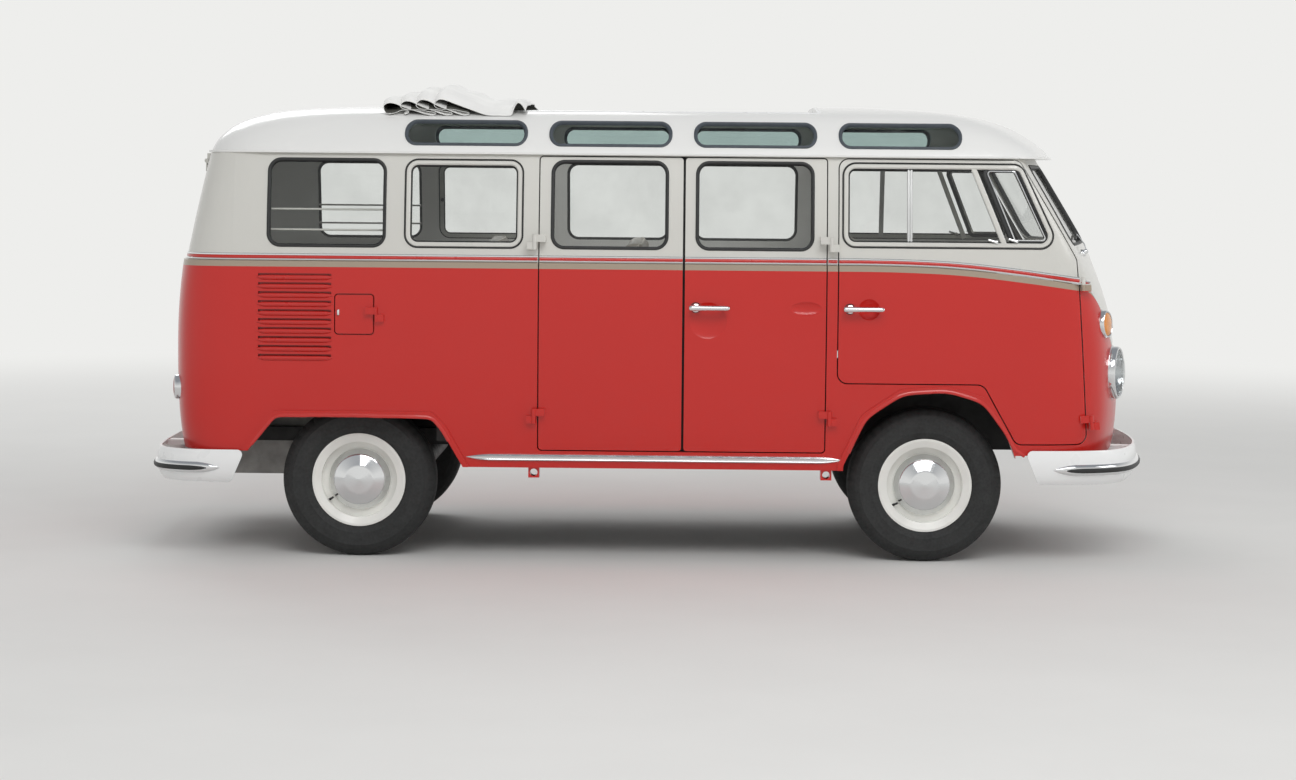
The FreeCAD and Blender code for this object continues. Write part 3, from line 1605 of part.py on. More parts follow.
for bench, width in (("middle_bench", "middle_bench_width"), ("rear_bench", "rear_bench_width")):
    rear = "-" + bench + "_rear"
    seat_items = [
        padded_block(
            bench + "_cushion", "bench_depth", width, "cushion_height",
            (rear, "-" + width + " / 2", "bench_seat_height + seat_settle"), soft,
        ),
        padded_block(
            bench + "_back", "back_thickness", width,
            "bench_back_top - bench_seat_height - cushion_height - 2 * seat_settle",
            (rear, "-" + width + " / 2", "bench_seat_height + cushion_height + 2 * seat_settle"), soft,
        ),
    ]
    keep(group(bench + "_set", *seat_items), bench)
    leg_items.append(
        block(
            bench + "_pan", "bench_depth", width, "plinth_sheet",
            (rear, "-" + width + " / 2", "bench_seat_height - plinth_sheet"),
        )
    )
    for lengthwise, along in (("rear", "bench_leg_inset"), ("front", "bench_depth - bench_leg_inset")):
        for side_name, sign in (("left", ""), ("right", "-")):
            leg_items.append(
                rod(
                    "%s_leg_%s_%s" % (bench, lengthwise, side_name), "bench_leg_radius",
                    "bench_seat_height - plinth_sheet - floor_top",
                    (rear + " + " + along, "%s(%s / 2 - bench_leg_inset)" % (sign, width), "floor_top"),
                )
            )
keep(fuse("seat_frames_fuse", *leg_items), "seat_frames")

# Cab: dashboard, steering column and steering wheel.
dash = solid_box(
    v.dash_rear, v.nose_reach, -v.dash_width / 2, v.dash_width / 2, v.dash_top - v.dash_height, v.dash_top
)
dash_hollow = solid_box(
    v.dash_rear + v.dash_sheet, v.nose_reach, -v.dash_width / 2 + v.dash_sheet,
    v.dash_width / 2 - v.dash_sheet, v.dash_top - v.dash_height - v.dash_sheet, v.dash_top - v.dash_sheet,
)
keep(feature("dashboard_shape", dash.cut(dash_hollow).common(cabin)), "dashboard")
hub = Vector(v.steering_station, v.steering_side, v.steering_height)
foot = Vector(v.column_foot_station, v.steering_side, v.floor_top)
column_axis = (hub - foot).normalize()
column_length = (hub - foot).Length - v.steering_hub_height / 2 - v.bearing_clearance
column = Part.makeCylinder(v.column_radius, column_length, foot, column_axis)
column = column.common(solid_box(0, v.nose_reach, 0, half, v.floor_top, v.roof_height))
keep(feature("steering_column_shape", column), "steering_column")
rim = doc.addObject("Part::Torus", "steering_rim")
rim.setExpression("Radius1", bound("steering_wheel_radius"))
rim.setExpression("Radius2", bound("steering_rim_radius"))
wheel_items = [
    rim,
    rod(
        "steering_hub", "steering_hub_radius", "steering_hub_height",
        ("0", "0", "-steering_hub_height / 2"),
    ),
]
for index in range(3):
    spoke = rod(
        "steering_spoke_%d" % (index + 1), "steering_spoke_radius", "steering_wheel_radius", ("0", "0", "0")
    )
    spoke.Placement = Placement(Vector(0, 0, 0), Rotation(Vector(0, 0, 1), 120 * index) * along_x)
    wheel_items.append(spoke)
steering_wheel = fuse("steering_wheel_fuse", *wheel_items)
tilt = Rotation(Vector(0, 0, 1), column_axis)
place(steering_wheel, ("steering_station", "steering_side", "steering_height"), tilt)
keep(steering_wheel, "steering_wheel")

doc.recompute()
faults = [item.Name for item in doc.Objects if "Invalid" in item.State or "Error" in item.State]
for item in pieces:
    if item.Shape.isNull() or not item.Shape.isValid():
        faults.append(item.Label)
if faults:
    raise RuntimeError("these failed: %s" % faults)
for item in pieces:
    item.Shape.exportStep("parts/%s.step" % item.Label)
print("written", len(pieces))
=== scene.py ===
import bpy
from functools import partial
from math import atan2, cos, pi, radians, sin, tan
from mathutils import Matrix, Vector
from mathutils.bvhtree import BVHTree


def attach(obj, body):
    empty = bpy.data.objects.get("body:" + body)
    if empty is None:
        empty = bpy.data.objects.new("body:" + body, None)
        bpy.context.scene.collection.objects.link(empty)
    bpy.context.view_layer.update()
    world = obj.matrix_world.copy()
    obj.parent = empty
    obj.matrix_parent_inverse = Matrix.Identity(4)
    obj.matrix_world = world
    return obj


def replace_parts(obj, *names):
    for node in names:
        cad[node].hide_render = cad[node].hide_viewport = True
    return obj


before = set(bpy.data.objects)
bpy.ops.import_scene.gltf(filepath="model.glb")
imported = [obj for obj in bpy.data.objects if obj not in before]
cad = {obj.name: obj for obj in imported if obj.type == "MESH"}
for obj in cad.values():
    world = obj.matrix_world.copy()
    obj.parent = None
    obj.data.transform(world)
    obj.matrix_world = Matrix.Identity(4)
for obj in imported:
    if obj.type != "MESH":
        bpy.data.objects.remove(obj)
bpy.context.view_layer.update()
bpy.ops.object.select_all(action="DESELECT")
sides = (("right", -1), ("left", 1))
print("frame loaded,", len(cad), "nodes")


def tone(red, green, blue):
    # a colour as a paint chart gives it, in linear light
    return tuple(((c / 255 + 0.055) / 1.055) ** 2.4 for c in (red, green, blue)) + (1.0,)


# Camera at the photograph's place, level with the windows of the right side
shot = {"place": (0.1115, -12.128, 1.629), "lens": 74.94, "sensor": 36.0, "down": 4.57, "toRear": 0.64,
        "roll": 0.5}


def setCamera():
    bpy.ops.object.camera_add()
    camera = bpy.context.object
    turn = Matrix.Rotation(radians(shot["toRear"]), 4, "Z")
    turn @= Matrix.Rotation(radians(90 - shot["down"]), 4, "X")
    turn @= Matrix.Rotation(radians(shot["roll"]), 4, "Z")
    camera.matrix_world = Matrix.Translation(shot["place"]) @ turn
    camera.data.lens = shot["lens"]
    camera.data.sensor_width = shot["sensor"]
    bpy.context.scene.camera = camera


# Node helpers for the finishes
def feed(finish, node, inputs):
    # values or links for a node's inputs
    for key, value in inputs.items():
        if isinstance(value, bpy.types.NodeSocket):
            finish.node_tree.links.new(value, node.inputs[key])
        else:
            node.inputs[key].default_value = value
    return node


def addNode(finish, kind, inputs=None, **settings):
    node = finish.node_tree.nodes.new(kind)
    for key, value in settings.items():
        setattr(node, key, value)
    return feed(finish, node, inputs or {})


def calc(finish, operation, *values, clamp=False):
    inputs = dict(enumerate(values))
    return addNode(finish, "ShaderNodeMath", inputs, operation=operation, use_clamp=clamp).outputs[0]


def spread(finish, value, low, high, fromLow=0.35, fromHigh=0.65):
    # maps a noise value to a range
    inputs = dict(enumerate((value, fromLow, fromHigh, low, high)))
    return addNode(finish, "ShaderNodeMapRange", inputs).outputs[0]


def mixColour(finish, share, first, second):
    return addNode(finish, "ShaderNodeMix", {0: share, 6: first, 7: second}, data_type="RGBA").outputs[2]


def mixShader(finish, share, first, second):
    inputs = {0: share, 1: first.outputs[0], 2: second.outputs[0]}
    return addNode(finish, "ShaderNodeMixShader", inputs).outputs[0]


def where(finish, kind="Object"):
    return addNode(finish, "ShaderNodeTexCoord").outputs[kind]


def cloud(finish, place, scale, detail=4.0):
    inputs = {"Vector": place, "Scale": scale, "Detail": detail}
    return addNode(finish, "ShaderNodeTexNoise", inputs).outputs["Fac"]


def scaled(finish, colour, share):
    return addNode(finish, "ShaderNodeVectorMath", {0: colour, "Scale": share}, operation="SCALE").outputs[0]


def parted(finish, vector):
    return addNode(finish, "ShaderNodeSeparateXYZ", {0: vector}).outputs


def surface(name, colour, roughness, mottle, uneven, grain=None, coat=None, metal=None):
    # a finish with a little unevenness in its colour, its gloss and its grain
    finish = bpy.data.materials.new(name)
    finish.use_nodes = True
    place = where(finish)
    base = colour(finish, place) if callable(colour) else colour[:3]
    scale, amount = mottle
    mottled = spread(finish, cloud(finish, place, scale), 1 - amount, 1 + amount)
    patchy = cloud(finish, place, scale * 3.7, 5.0)
    inputs = {
        "Base Color": scaled(finish, base, mottled),
        "Roughness": spread(finish, patchy, roughness - uneven, roughness + uneven),
    }
    if grain:
        fine, depth = grain
        bumps = {"Strength": 1.0, "Distance": depth, "Height": cloud(finish, place, fine, 3.0)}
        inputs["Normal"] = addNode(finish, "ShaderNodeBump", bumps).outputs[0]
    if coat:
        inputs["Coat Weight"], inputs["Coat Roughness"] = coat
    if metal:
        inputs["Metallic"] = metal
    feed(finish, finish.node_tree.nodes["Principled BSDF"], inputs)
    return finish


# Two-tone paint: red below the belt, cream above it and inside the vee on the nose,
# a darker beige painted shade on the ledge under the belt, and a plain trim colour on the faces that look into the
# cabin
paint = {
    "red": tone(200, 22, 10), "cream": tone(215, 214, 208), "trim": tone(226, 226, 222),
    # roof is the cream paint lightened, a painted highlight where the roof faces the sky
    "lip": tone(168, 152, 134), "roof": tone(238, 238, 236), "headlining": tone(214, 213, 207),
    # lip is the cream paint darkened, painted shade on the ledge under the belt; ledge is how far under the belt
    # height that band reaches
    "ledge": 0.024, "edge": 0.001, "corner": 1.782, "coreRear": -1.5, "coreFront": 1.2,
    "inwardBelow": -0.3, "downBelow": -0.5,
    "sideHeights": [(0.9, 1.255), (1.095, 1.2515), (1.289, 1.242), (1.53, 1.217), (1.782, 1.183)],
    "noseHeights": [
        (0, 0.505), (0.11, 0.545), (0.24, 0.630), (0.37, 0.730), (0.467, 0.820),
        (0.559, 0.905), (0.64, 0.985), (0.69, 1.055), (0.722, 1.125), (0.79, 1.183),
    ],
    "low": 0.4, "high": 1.4,
}


def heightCurve(finish, stations, along):
    # the belt's height over a distance, as a curve through the stations
    first, last = stations[0][0], stations[-1][0]
    share = calc(finish, "DIVIDE", calc(finish, "SUBTRACT", along, first), last - first, clamp=True)
    node = addNode(finish, "ShaderNodeFloatCurve", {"Value": share})
    curve = node.mapping.curves[0]
    reach = paint["high"] - paint["low"]
    points = [((a - first) / (last - first), (h - paint["low"]) / reach) for a, h in stations]
    curve.points[0].location = points[0]
    curve.points[1].location = points[-1]
    for point in points[1:-1]:
        curve.points.new(*point)
    node.mapping.update()
    return calc(finish, "MULTIPLY_ADD", node.outputs[0], reach, paint["low"])


def inward(finish, place):
    # 1 on faces that look into the cabin
    x, y, z = parted(finish, place)
    core = addNode(finish, "ShaderNodeClamp", {0: x, 1: paint["coreRear"], 2: paint["coreFront"]}).outputs[0]
    away = addNode(finish, "ShaderNodeCombineXYZ", {0: calc(finish, "SUBTRACT", x, core), 1: y}).outputs[0]
    unit = addNode(finish, "ShaderNodeVectorMath", {0: away}, operation="NORMALIZE").outputs[0]
    inputs = {0: unit, 1: where(finish, "Normal")}
    facing = addNode(finish, "ShaderNodeVectorMath", inputs, operation="DOT_PRODUCT").outputs["Value"]
    return calc(finish, "LESS_THAN", facing, paint["inwardBelow"])


def twoToneWithLedgeShade(finish, place):
    x, y, z = parted(finish, place)
    side = heightCurve(finish, paint["sideHeights"], x)
    nose = heightCurve(finish, paint["noseHeights"], calc(finish, "ABSOLUTE", y))
    ahead = calc(finish, "GREATER_THAN", x, paint["corner"])
    height = addNode(finish, "ShaderNodeMix", {0: ahead, 2: side, 3: nose}, data_type="FLOAT").outputs[0]
    below = calc(finish, "LESS_THAN", z, calc(finish, "SUBTRACT", height, paint["ledge"]))
    # painted shade: the band just under the belt height takes the darker lip colour, the cream paint as it looks
    # in shadow on the ledge
    ledgePaintedShade = calc(finish, "LESS_THAN", z, calc(finish, "ADD", height, paint["edge"]))
    upper = mixColour(finish, ledgePaintedShade, paint["cream"], paint["lip"])
    outer = mixColour(finish, below, upper, paint["red"])
    return mixColour(finish, inward(finish, place), outer, paint["trim"])


def roofColourWithPaintedLight(finish, place):
    # near-white outside: the cream paint lightened, painted light from the sky above; headlining below
    down = calc(finish, "LESS_THAN", parted(finish, where(finish, "Normal"))[2], paint["downBelow"])
    under = calc(finish, "MAXIMUM", down, inward(finish, place))
    return mixColour(finish, under, paint["roof"], paint["headlining"])


def glass(name, tint, shine=0.02, mirrors=1.45):
    # thin glass: what is behind shows through, and its outer face mirrors more at a slant
    finish = bpy.data.materials.new(name)
    finish.use_nodes = True
    nodes = finish.node_tree.nodes
    nodes.remove(nodes["Principled BSDF"])
    stain = spread(finish, cloud(finish, where(finish), 6.0), 0.97, 1.0)
    clear = addNode(finish, "ShaderNodeBsdfTransparent", {"Color": scaled(finish, tint, stain)})
    mirror = addNode(finish, "ShaderNodeBsdfGlossy", {"Roughness": shine})
    slant = addNode(finish, "ShaderNodeFresnel", {"IOR": mirrors}).outputs[0]
    behind = addNode(finish, "ShaderNodeNewGeometry").outputs["Backfacing"]
    share = calc(finish, "MULTIPLY", slant, calc(finish, "SUBTRACT", 1.0, behind))
    feed(finish, nodes["Material Output"], {"Surface": mixShader(finish, share, clear, mirror)})
    return finish


fine, lens = (900, 0.00002), (0.5, 0.03)
finishes = {
    "paint": surface("bodyPaint", twoToneWithLedgeShade, 0.3, (1.3, 0.008), 0.02, fine, (0.35, 0.04)),
    "roof": surface("roofPaintWithPaintedLight", roofColourWithPaintedLight, 0.33, (1.1, 0.008), 0.02, fine, (0.6, 0.05)),
    "cream": surface("creamPaint", paint["cream"], 0.3, (4, 0.02), 0.03, fine, (0.6, 0.05)),
    "red": surface("redPaint", paint["red"], 0.3, (4, 0.02), 0.03, fine, (0.6, 0.05)),
    "bumper": surface("bumperPaint", tone(244, 245, 245), 0.3, (3, 0.012), 0.03, (700, 0.00002), (0.5, 0.06)),
    "wheel": surface("wheelPaint", tone(240, 240, 235), 0.34, (9, 0.04), 0.05, (700, 0.00003), (0.4, 0.08)),
    "chassis": surface("chassisPaint", tone(28, 27, 26), 0.55, (9, 0.18), 0.1, (260, 0.0004)),
    "muffler": surface("mufflerPaint", tone(32, 31, 30), 0.6, (12, 0.2), 0.1, (260, 0.0004)),
    "cabin": surface("cabinPaint", tone(176, 172, 164), 0.4, (5, 0.03), 0.05, (400, 0.0001)),
    "satin": surface("satinMetal", tone(214, 215, 214), 0.36, (8, 0.02), 0.04, metal=0.5),
    "chrome": surface("chrome", tone(226, 227, 228), 0.09, (6, 0.02), 0.03, metal=1.0),
    "mirror": surface("mirrorBowl", tone(214, 216, 218), 0.16, (30, 0.02), 0.03, metal=1.0),
    "castIron": surface("castIron", tone(62, 60, 58), 0.65, (20, 0.15), 0.08, (300, 0.0006), metal=0.4),
    "engine": surface("castAlloy", tone(150, 149, 146), 0.5, (14, 0.12), 0.08, (240, 0.0005), metal=0.7),
    "rubber": surface("blackRubber", tone(38, 39, 39), 0.5, (40, 0.12), 0.06, (600, 0.0001)),
    "greyRubber": surface("skylightRubber", tone(70, 77, 84), 0.55, (30, 0.1), 0.06, (600, 0.0001)),
    "tyre": surface("tyreRubber", tone(41, 42, 42), 0.72, (25, 0.14), 0.08, (420, 0.0003)),
    "seat": surface("seatVinyl", tone(150, 143, 132), 0.45, (5, 0.04), 0.05, (500, 0.0003)),
    "welt": surface("seatWelt", tone(196, 190, 178), 0.5, (8, 0.03), 0.05, (700, 0.0001)),
    "canvas": surface("canvasCloth", tone(244, 244, 242), 0.85, (7, 0.04), 0.05, (900, 0.0004)),
    "lining": surface("canvasLining", tone(86, 86, 80), 0.9, (9, 0.06), 0.04, (900, 0.0004)),
    "dial": surface("dialFace", tone(40, 41, 43), 0.4, (20, 0.05), 0.04),
    "steering": surface("steeringPlastic", tone(208, 204, 192), 0.25, (8, 0.02), 0.03, (500, 0.00003),
                        (0.3, 0.05)),
    "bulb": surface("bulbGlass", tone(240, 238, 226), 0.2, (60, 0.02), 0.03),
    "redLens": surface("redLens", tone(150, 16, 16), 0.12, (30, 0.05), 0.03, coat=lens),
    "amber": surface("amberLens", tone(226, 138, 40), 0.12, (30, 0.05), 0.03, coat=lens),
    "glass": glass("windowGlass", (0.955, 0.962, 0.957), mirrors=1.6),
    "roofGlass": glass("skylightGlass", (0.80, 0.86, 0.85), mirrors=1.7),
    "lampGlass": glass("lampGlass", (0.93, 0.94, 0.94), 0.03),
}

slotFinishes = {
    "body_paint": "paint", "roof_paint": "roof", "clear_glass": "glass", "roof_glass": "roofGlass",
    "lamp_glass": "chrome", "lamp_plastic": "redLens", "canvas": "canvas", "chassis_paint": "chassis",
    "wheel_paint": "wheel", "tyre": "tyre", "cast_iron": "castIron", "engine_metal": "engine",
    "muffler_metal": "muffler", "bumper_paint": "bumper", "seat_cover": "seat", "cabin_paint": "cabin",
    "steering_plastic": "steering",
}
for node in cad.values():
    for holder in node.material_slots:
        holder.material = finishes[slotFinishes[holder.material.name.split(".")[0]]]
print("finishes set on", len(cad), "nodes")


# Floor and light
stage = {
    "radius": 40.0, "near": 4.0, "far": 13.0, "pale": tone(238, 238, 236), "floor": tone(226, 226, 224),
    "high": tone(150, 153, 158), "fill": 0.50, "horizon": (0.12, 0.75), "aim": (0, 0, 0.9),
    "lamps": {
        "key": {"place": (1.5, -7.5, 7.5), "size": (7.0, 4.0), "power": 350},
        "back": {"place": (-3.0, 7.0, 6.5), "size": (6.0, 4.0), "power": 190},
        "front": {"place": (8.0, -2.0, 4.5), "size": (4.0, 3.0), "power": 80},
    },
}


def backdropShare(finish):
    # 1 for what is seen straight, in a mirror or through glass
    path = addNode(finish, "ShaderNodeLightPath").outputs
    seen = calc(finish, "MAXIMUM", path["Is Camera Ray"], path["Is Glossy Ray"])
    return calc(finish, "MAXIMUM", seen, path["Is Transmission Ray"])


def setStage():
    bpy.ops.mesh.primitive_circle_add(vertices=96, radius=stage["radius"], fill_type="NGON")
    floor = bpy.context.object
    floor.name = "studioFloor"
    finish = surface("studioFloor", stage["floor"], 0.8, (1.5, 0.01), 0.03)
    nodes = finish.node_tree.nodes
    length = addNode(finish, "ShaderNodeVectorMath", {0: where(finish)}, operation="LENGTH").outputs["Value"]
    inputs = {0: length, 1: stage["near"], 2: stage["far"]}
    fade = addNode(finish, "ShaderNodeMapRange", inputs, interpolation_type="SMOOTHSTEP").outputs[0]
    glow = addNode(finish, "ShaderNodeEmission", {"Color": stage["pale"]})
    share = calc(finish, "MULTIPLY", fade, backdropShare(finish))
    mixed = mixShader(finish, share, nodes["Principled BSDF"], glow)
    feed(finish, nodes["Material Output"], {"Surface": mixed})
    floor.data.materials.append(finish)


def setLight():
    world = bpy.data.worlds.new("studio")
    bpy.context.scene.world = world
    world.use_nodes = True
    nodes = world.node_tree.nodes
    soft = addNode(world, "ShaderNodeBackground", {"Color": (1, 1, 1, 1), "Strength": stage["fill"]})
    sky = spread(world, parted(world, where(world, "Generated"))[2], 0.0, 1.0, *stage["horizon"])
    backdrop = {"Color": mixColour(world, sky, stage["pale"], stage["high"]), "Strength": 1.0}
    feed(world, nodes["Background"], backdrop)
    mixed = mixShader(world, backdropShare(world), soft, nodes["Background"])
    feed(world, nodes["World Output"], {"Surface": mixed})
    for name, lamp in stage["lamps"].items():
        bpy.ops.object.light_add(type="AREA", location=lamp["place"])
        light = bpy.context.object
        light.name = "softbox_" + name
        light.data.shape = "RECTANGLE"
        light.data.size, light.data.size_y = lamp["size"]
        light.data.energy = lamp["power"]
        aim = Vector(stage["aim"]) - Vector(lamp["place"])
        light.rotation_euler = aim.to_track_quat("-Z", "Y").to_euler()
    bpy.context.scene.view_settings.view_transform = "Standard"


setCamera()
setStage()
setLight()
print("camera, floor and light set")


# Modelling helpers
def mm(*pairs):
    # pairs given in millimetres: across and out of a strip, or radius and height of a spun piece
    return [(a / 1000, b / 1000) for a, b in pairs]


def between(low, high, count):
    return [low + (high - low) * i / count for i in range(count + 1)]


def activate(piece):
    bpy.ops.object.select_all(action="DESELECT")
    piece.select_set(True)
    bpy.context.view_layer.objects.active = piece


def newPiece(name, points, faces=(), edges=()):
    mesh = bpy.data.meshes.new(name)
    mesh.from_pydata([tuple(point) for point in points], list(edges), list(faces))
    return link(name, mesh)


def link(name, mesh):
    piece = bpy.data.objects.new(name, mesh)
    bpy.context.scene.collection.objects.link(piece)
    activate(piece)
    return piece


def settle(piece, body, finish, angle=35, recalculate=True):
    # the last steps for each piece: place in its mesh, faces outwards, smooth, on its body
    activate(piece)
    bpy.ops.object.transform_apply(location=True, rotation=True, scale=True)
    if recalculate:
        bpy.ops.object.mode_set(mode="EDIT")
        bpy.ops.mesh.select_all(action="SELECT")
        bpy.ops.mesh.remove_doubles(threshold=0.00001)
        bpy.ops.mesh.normals_make_consistent(inside=False)
        bpy.ops.object.mode_set(mode="OBJECT")
    bpy.ops.object.shade_smooth_by_angle(angle=radians(angle))
    piece.data.materials.clear()
    piece.data.materials.append(finishes[finish])
    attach(piece, body)
    return piece


def shape(piece, modifier, **settings):
    # adds a modifier and applies it
    activate(piece)
    made = piece.modifiers.new(modifier, modifier)
    for key, value in settings.items():
        setattr(made, key, value)
    bpy.ops.object.modifier_apply(modifier=made.name)
    return piece


def join(name, pieces):
    activate(pieces[0])
    for piece in pieces[1:]:
        piece.select_set(True)
    bpy.ops.object.join()
    bpy.context.object.name = name
    return bpy.context.object


def lathe(name, outline, steps, centre=None, ahead=None):
    # an outline of radius and height pairs, spun round Z and set on its place, facing ahead
    edges = [(i, i + 1) for i in range(len(outline) - 1)]
    piece = newPiece(name, [(radius, 0, height) for radius, height in outline], edges=edges)
    bpy.ops.object.mode_set(mode="EDIT")
    bpy.ops.mesh.select_all(action="SELECT")
    bpy.ops.mesh.spin(steps=steps, angle=2 * pi, center=(0, 0, 0), axis=(0, 0, 1))
    bpy.ops.mesh.select_all(action="SELECT")
    bpy.ops.mesh.remove_doubles(threshold=0.00005)
    bpy.ops.object.mode_set(mode="OBJECT")
    return turnTo(piece, centre, ahead) if ahead is not None else piece


def turnTo(piece, centre, ahead, roll=0.0):
    turn = Vector(ahead).to_track_quat("Z", "Y").to_matrix().to_4x4()
    piece.data.transform(Matrix.Translation(centre) @ turn @ Matrix.Rotation(roll, 4, "Z"))
    return piece


def block(place, scale, rotation=(0, 0, 0)):
    bpy.ops.mesh.primitive_cube_add(size=1, location=place, rotation=rotation, scale=scale)
    bpy.ops.object.transform_apply(location=True, rotation=True, scale=True)
    return bpy.context.object


def treeOf(*meshes):
    points, faces = [], []
    for mesh in meshes:
        start = len(points)
        points += [vertex.co.copy() for vertex in mesh.vertices]
        faces += [[start + i for i in polygon.vertices] for polygon in mesh.polygons]
    return BVHTree.FromPolygons(points, faces)


def shellTree(*names):
    return treeOf(*[cad[name].data for name in names])


skin = shellTree(
    "front_panel", "side_panel_left", "side_panel_right", "rear_panel", "tailgate", "engine_lid",
    "front_door_left", "front_door_right", "cargo_door_rear", "cargo_door_front", "fuel_flap", "roof_panel",
)


def meet(tree, start, heading):
    # where a straight line meets a shape, and which way the shape faces there
    place, facing, face, distance = tree.ray_cast(Vector(start), Vector(heading))
    return place, facing


def landSide(side, x, z, tree=skin):
    return meet(tree, (x, side * 1.5, z), (0, -side, 0))


def landEnd(end, y, z, tree=skin):
    return meet(tree, (end * 3.0, y, z), (-end, 0, 0))


def landRoof(x, y, tree=skin):
    return meet(tree, (x, y, 3), (0, 0, -1))


def boxCorners(span, bottom, top):
    return [(span[0], bottom), (span[1], bottom), (span[1], top), (span[0], top)]


def roundedOutline(corners, radius, step=0.03, grow=0.0):
    # corner points of an outline, rounded, with points along its runs
    stops = []
    count = len(corners)
    corners = [Vector(corner) for corner in corners]
    winding = sum(corners[index - 1].cross(corners[index]) for index in range(count))
    for index, corner in enumerate(corners):
        back = (corners[index - 1] - corner).normalized()
        ahead = (corners[(index + 1) % count] - corner).normalized()
        half = back.angle(ahead) / 2
        outer = radius + (grow if ahead.cross(back) * winding > 0 else -grow)
        centre = corner + (back + ahead).normalized() * radius / sin(half)
        reach = radius / tan(half)
        first, last = corner + back * reach - centre, corner + ahead * reach - centre
        start = atan2(first.y, first.x)
        sweep = (atan2(last.y, last.x) - start + pi) % (2 * pi) - pi
        bends = max(4, round(abs(sweep) / radians(9)))
        turns = between(start, start + sweep, bends)
        stops.append([centre + outer * Vector((cos(turn), sin(turn))) for turn in turns])
    points = []
    for index, stop in enumerate(stops):
        following = stops[(index + 1) % count][0]
        runs = max(1, round((following - stop[-1]).length / step))
        points += stop + between(stop[-1], following, runs)[1:-1]
    return points


def evened(facings, closed):
    # evens out how the skin faces along a path
    for turn in range(3):
        before = facings[-1:] + facings[:-1] if closed else facings[:1] + facings[:-1]
        after = facings[1:] + facings[:1] if closed else facings[1:] + facings[-1:]
        facings = [(a + b + here * 2).normalized() for a, here, b in zip(before, facings, after)]
    return facings


def strip(name, landed, section, closed=False, up=(0, 0, 1), shift=0.0, around=None):
    # a section of across and out pairs swept along places on the skin; across counts
    # outwards from the middle of a closed path and upwards on an open one
    path = [place for place, facing in landed]
    facings = evened([facing for place, facing in landed], closed)
    count, size = len(path), len(section)
    middle = Vector(around) if around else sum(path, Vector()) / count
    points, faces = [], []
    for index, (place, facing) in enumerate(zip(path, facings)):
        before = path[index - 1] if closed or index else place
        after = path[(index + 1) % count] if closed or index < count - 1 else place
        along = (after - before).normalized()
        facing = (facing - along * facing.dot(along)).normalized()
        across = along.cross(facing)
        if across.dot(place - middle if closed or around else Vector(up)) < 0:
            across.negate()
        points += [place + across * (a + shift) + facing * out for a, out in section]
    for index in range(count if closed else count - 1):
        here, following = index * size, (index + 1) % count * size
        for corner in range(size):
            other = (corner + 1) % size
            faces.append((here + corner, here + other, following + other, following + corner))
    if not closed:
        faces += [tuple(range(size)), tuple(range((count - 1) * size, count * size))]
    return newPiece(name, points, faces)


def edging(name, corners, radius, section, grow, landAt, body, finish):
    # a closed strip round an outline; it is laid where the skin is whole and drawn back to the edge
    landed = [landAt(*point) for point in roundedOutline(corners, radius, grow=grow)]
    return settle(strip(name, landed, section, closed=True, shift=-grow), body, finish)


def pointed(piece, landed, size, shares):
    # draws the ends of a strip in to a point
    for index, share in enumerate(shares):
        for number in (index, len(landed) - 1 - index):
            place = landed[number][0]
            for vertex in piece.data.vertices[number * size:(number + 1) * size]:
                vertex.co = place + (vertex.co - place) * share
    return piece


def pipe(name, points, radius, sides=12, squeeze=1.0):
    # a round bar along points in space
    points = [Vector(point) for point in points]
    along = (points[-1] - points[0]).normalized()
    side = along.orthogonal().normalized()
    return strip(name, [(point, side) for point in points], ring(radius, sides, squeeze),
                 up=along.cross(side))


def ring(radius, sides=12, squeeze=1.0):
    turns = [2 * pi * i / sides for i in range(sides)]
    return [(radius * cos(turn), radius * squeeze * sin(turn)) for turn in turns]


def curved(points, parts):
    # dense points on a smooth curve through the given ones
    points = [Vector(point) for point in points]
    dense = []
    for index in range(len(points) - 1):
        before, here = points[max(index - 1, 0)], points[index]
        after, beyond = points[index + 1], points[min(index + 2, len(points) - 1)]
        square = 2 * before - 5 * here + 4 * after - beyond
        cube = 3 * here - before - 3 * after + beyond
        for part in range(parts):
            t = part / parts
            dense.append(0.5 * (2 * here + (after - before) * t + square * t ** 2 + cube * t ** 3))
    return dense + points[-1:]


def evenRun(points, step):
    # the same line with evenly spaced points
    total = sum((b - a).length for a, b in zip(points, points[1:]))
    count = max(2, round(total / step))
    spaced, walked, target, index = [points[0]], 0.0, total / count, 0
    while len(spaced) < count:
        leg = (points[index + 1] - points[index]).length
        if walked + leg >= target and leg > 0:
            spaced.append(points[index].lerp(points[index + 1], (target - walked) / leg))
            target += total / count
        else:
            walked += leg
            index += 1
    return spaced + [points[-1]]


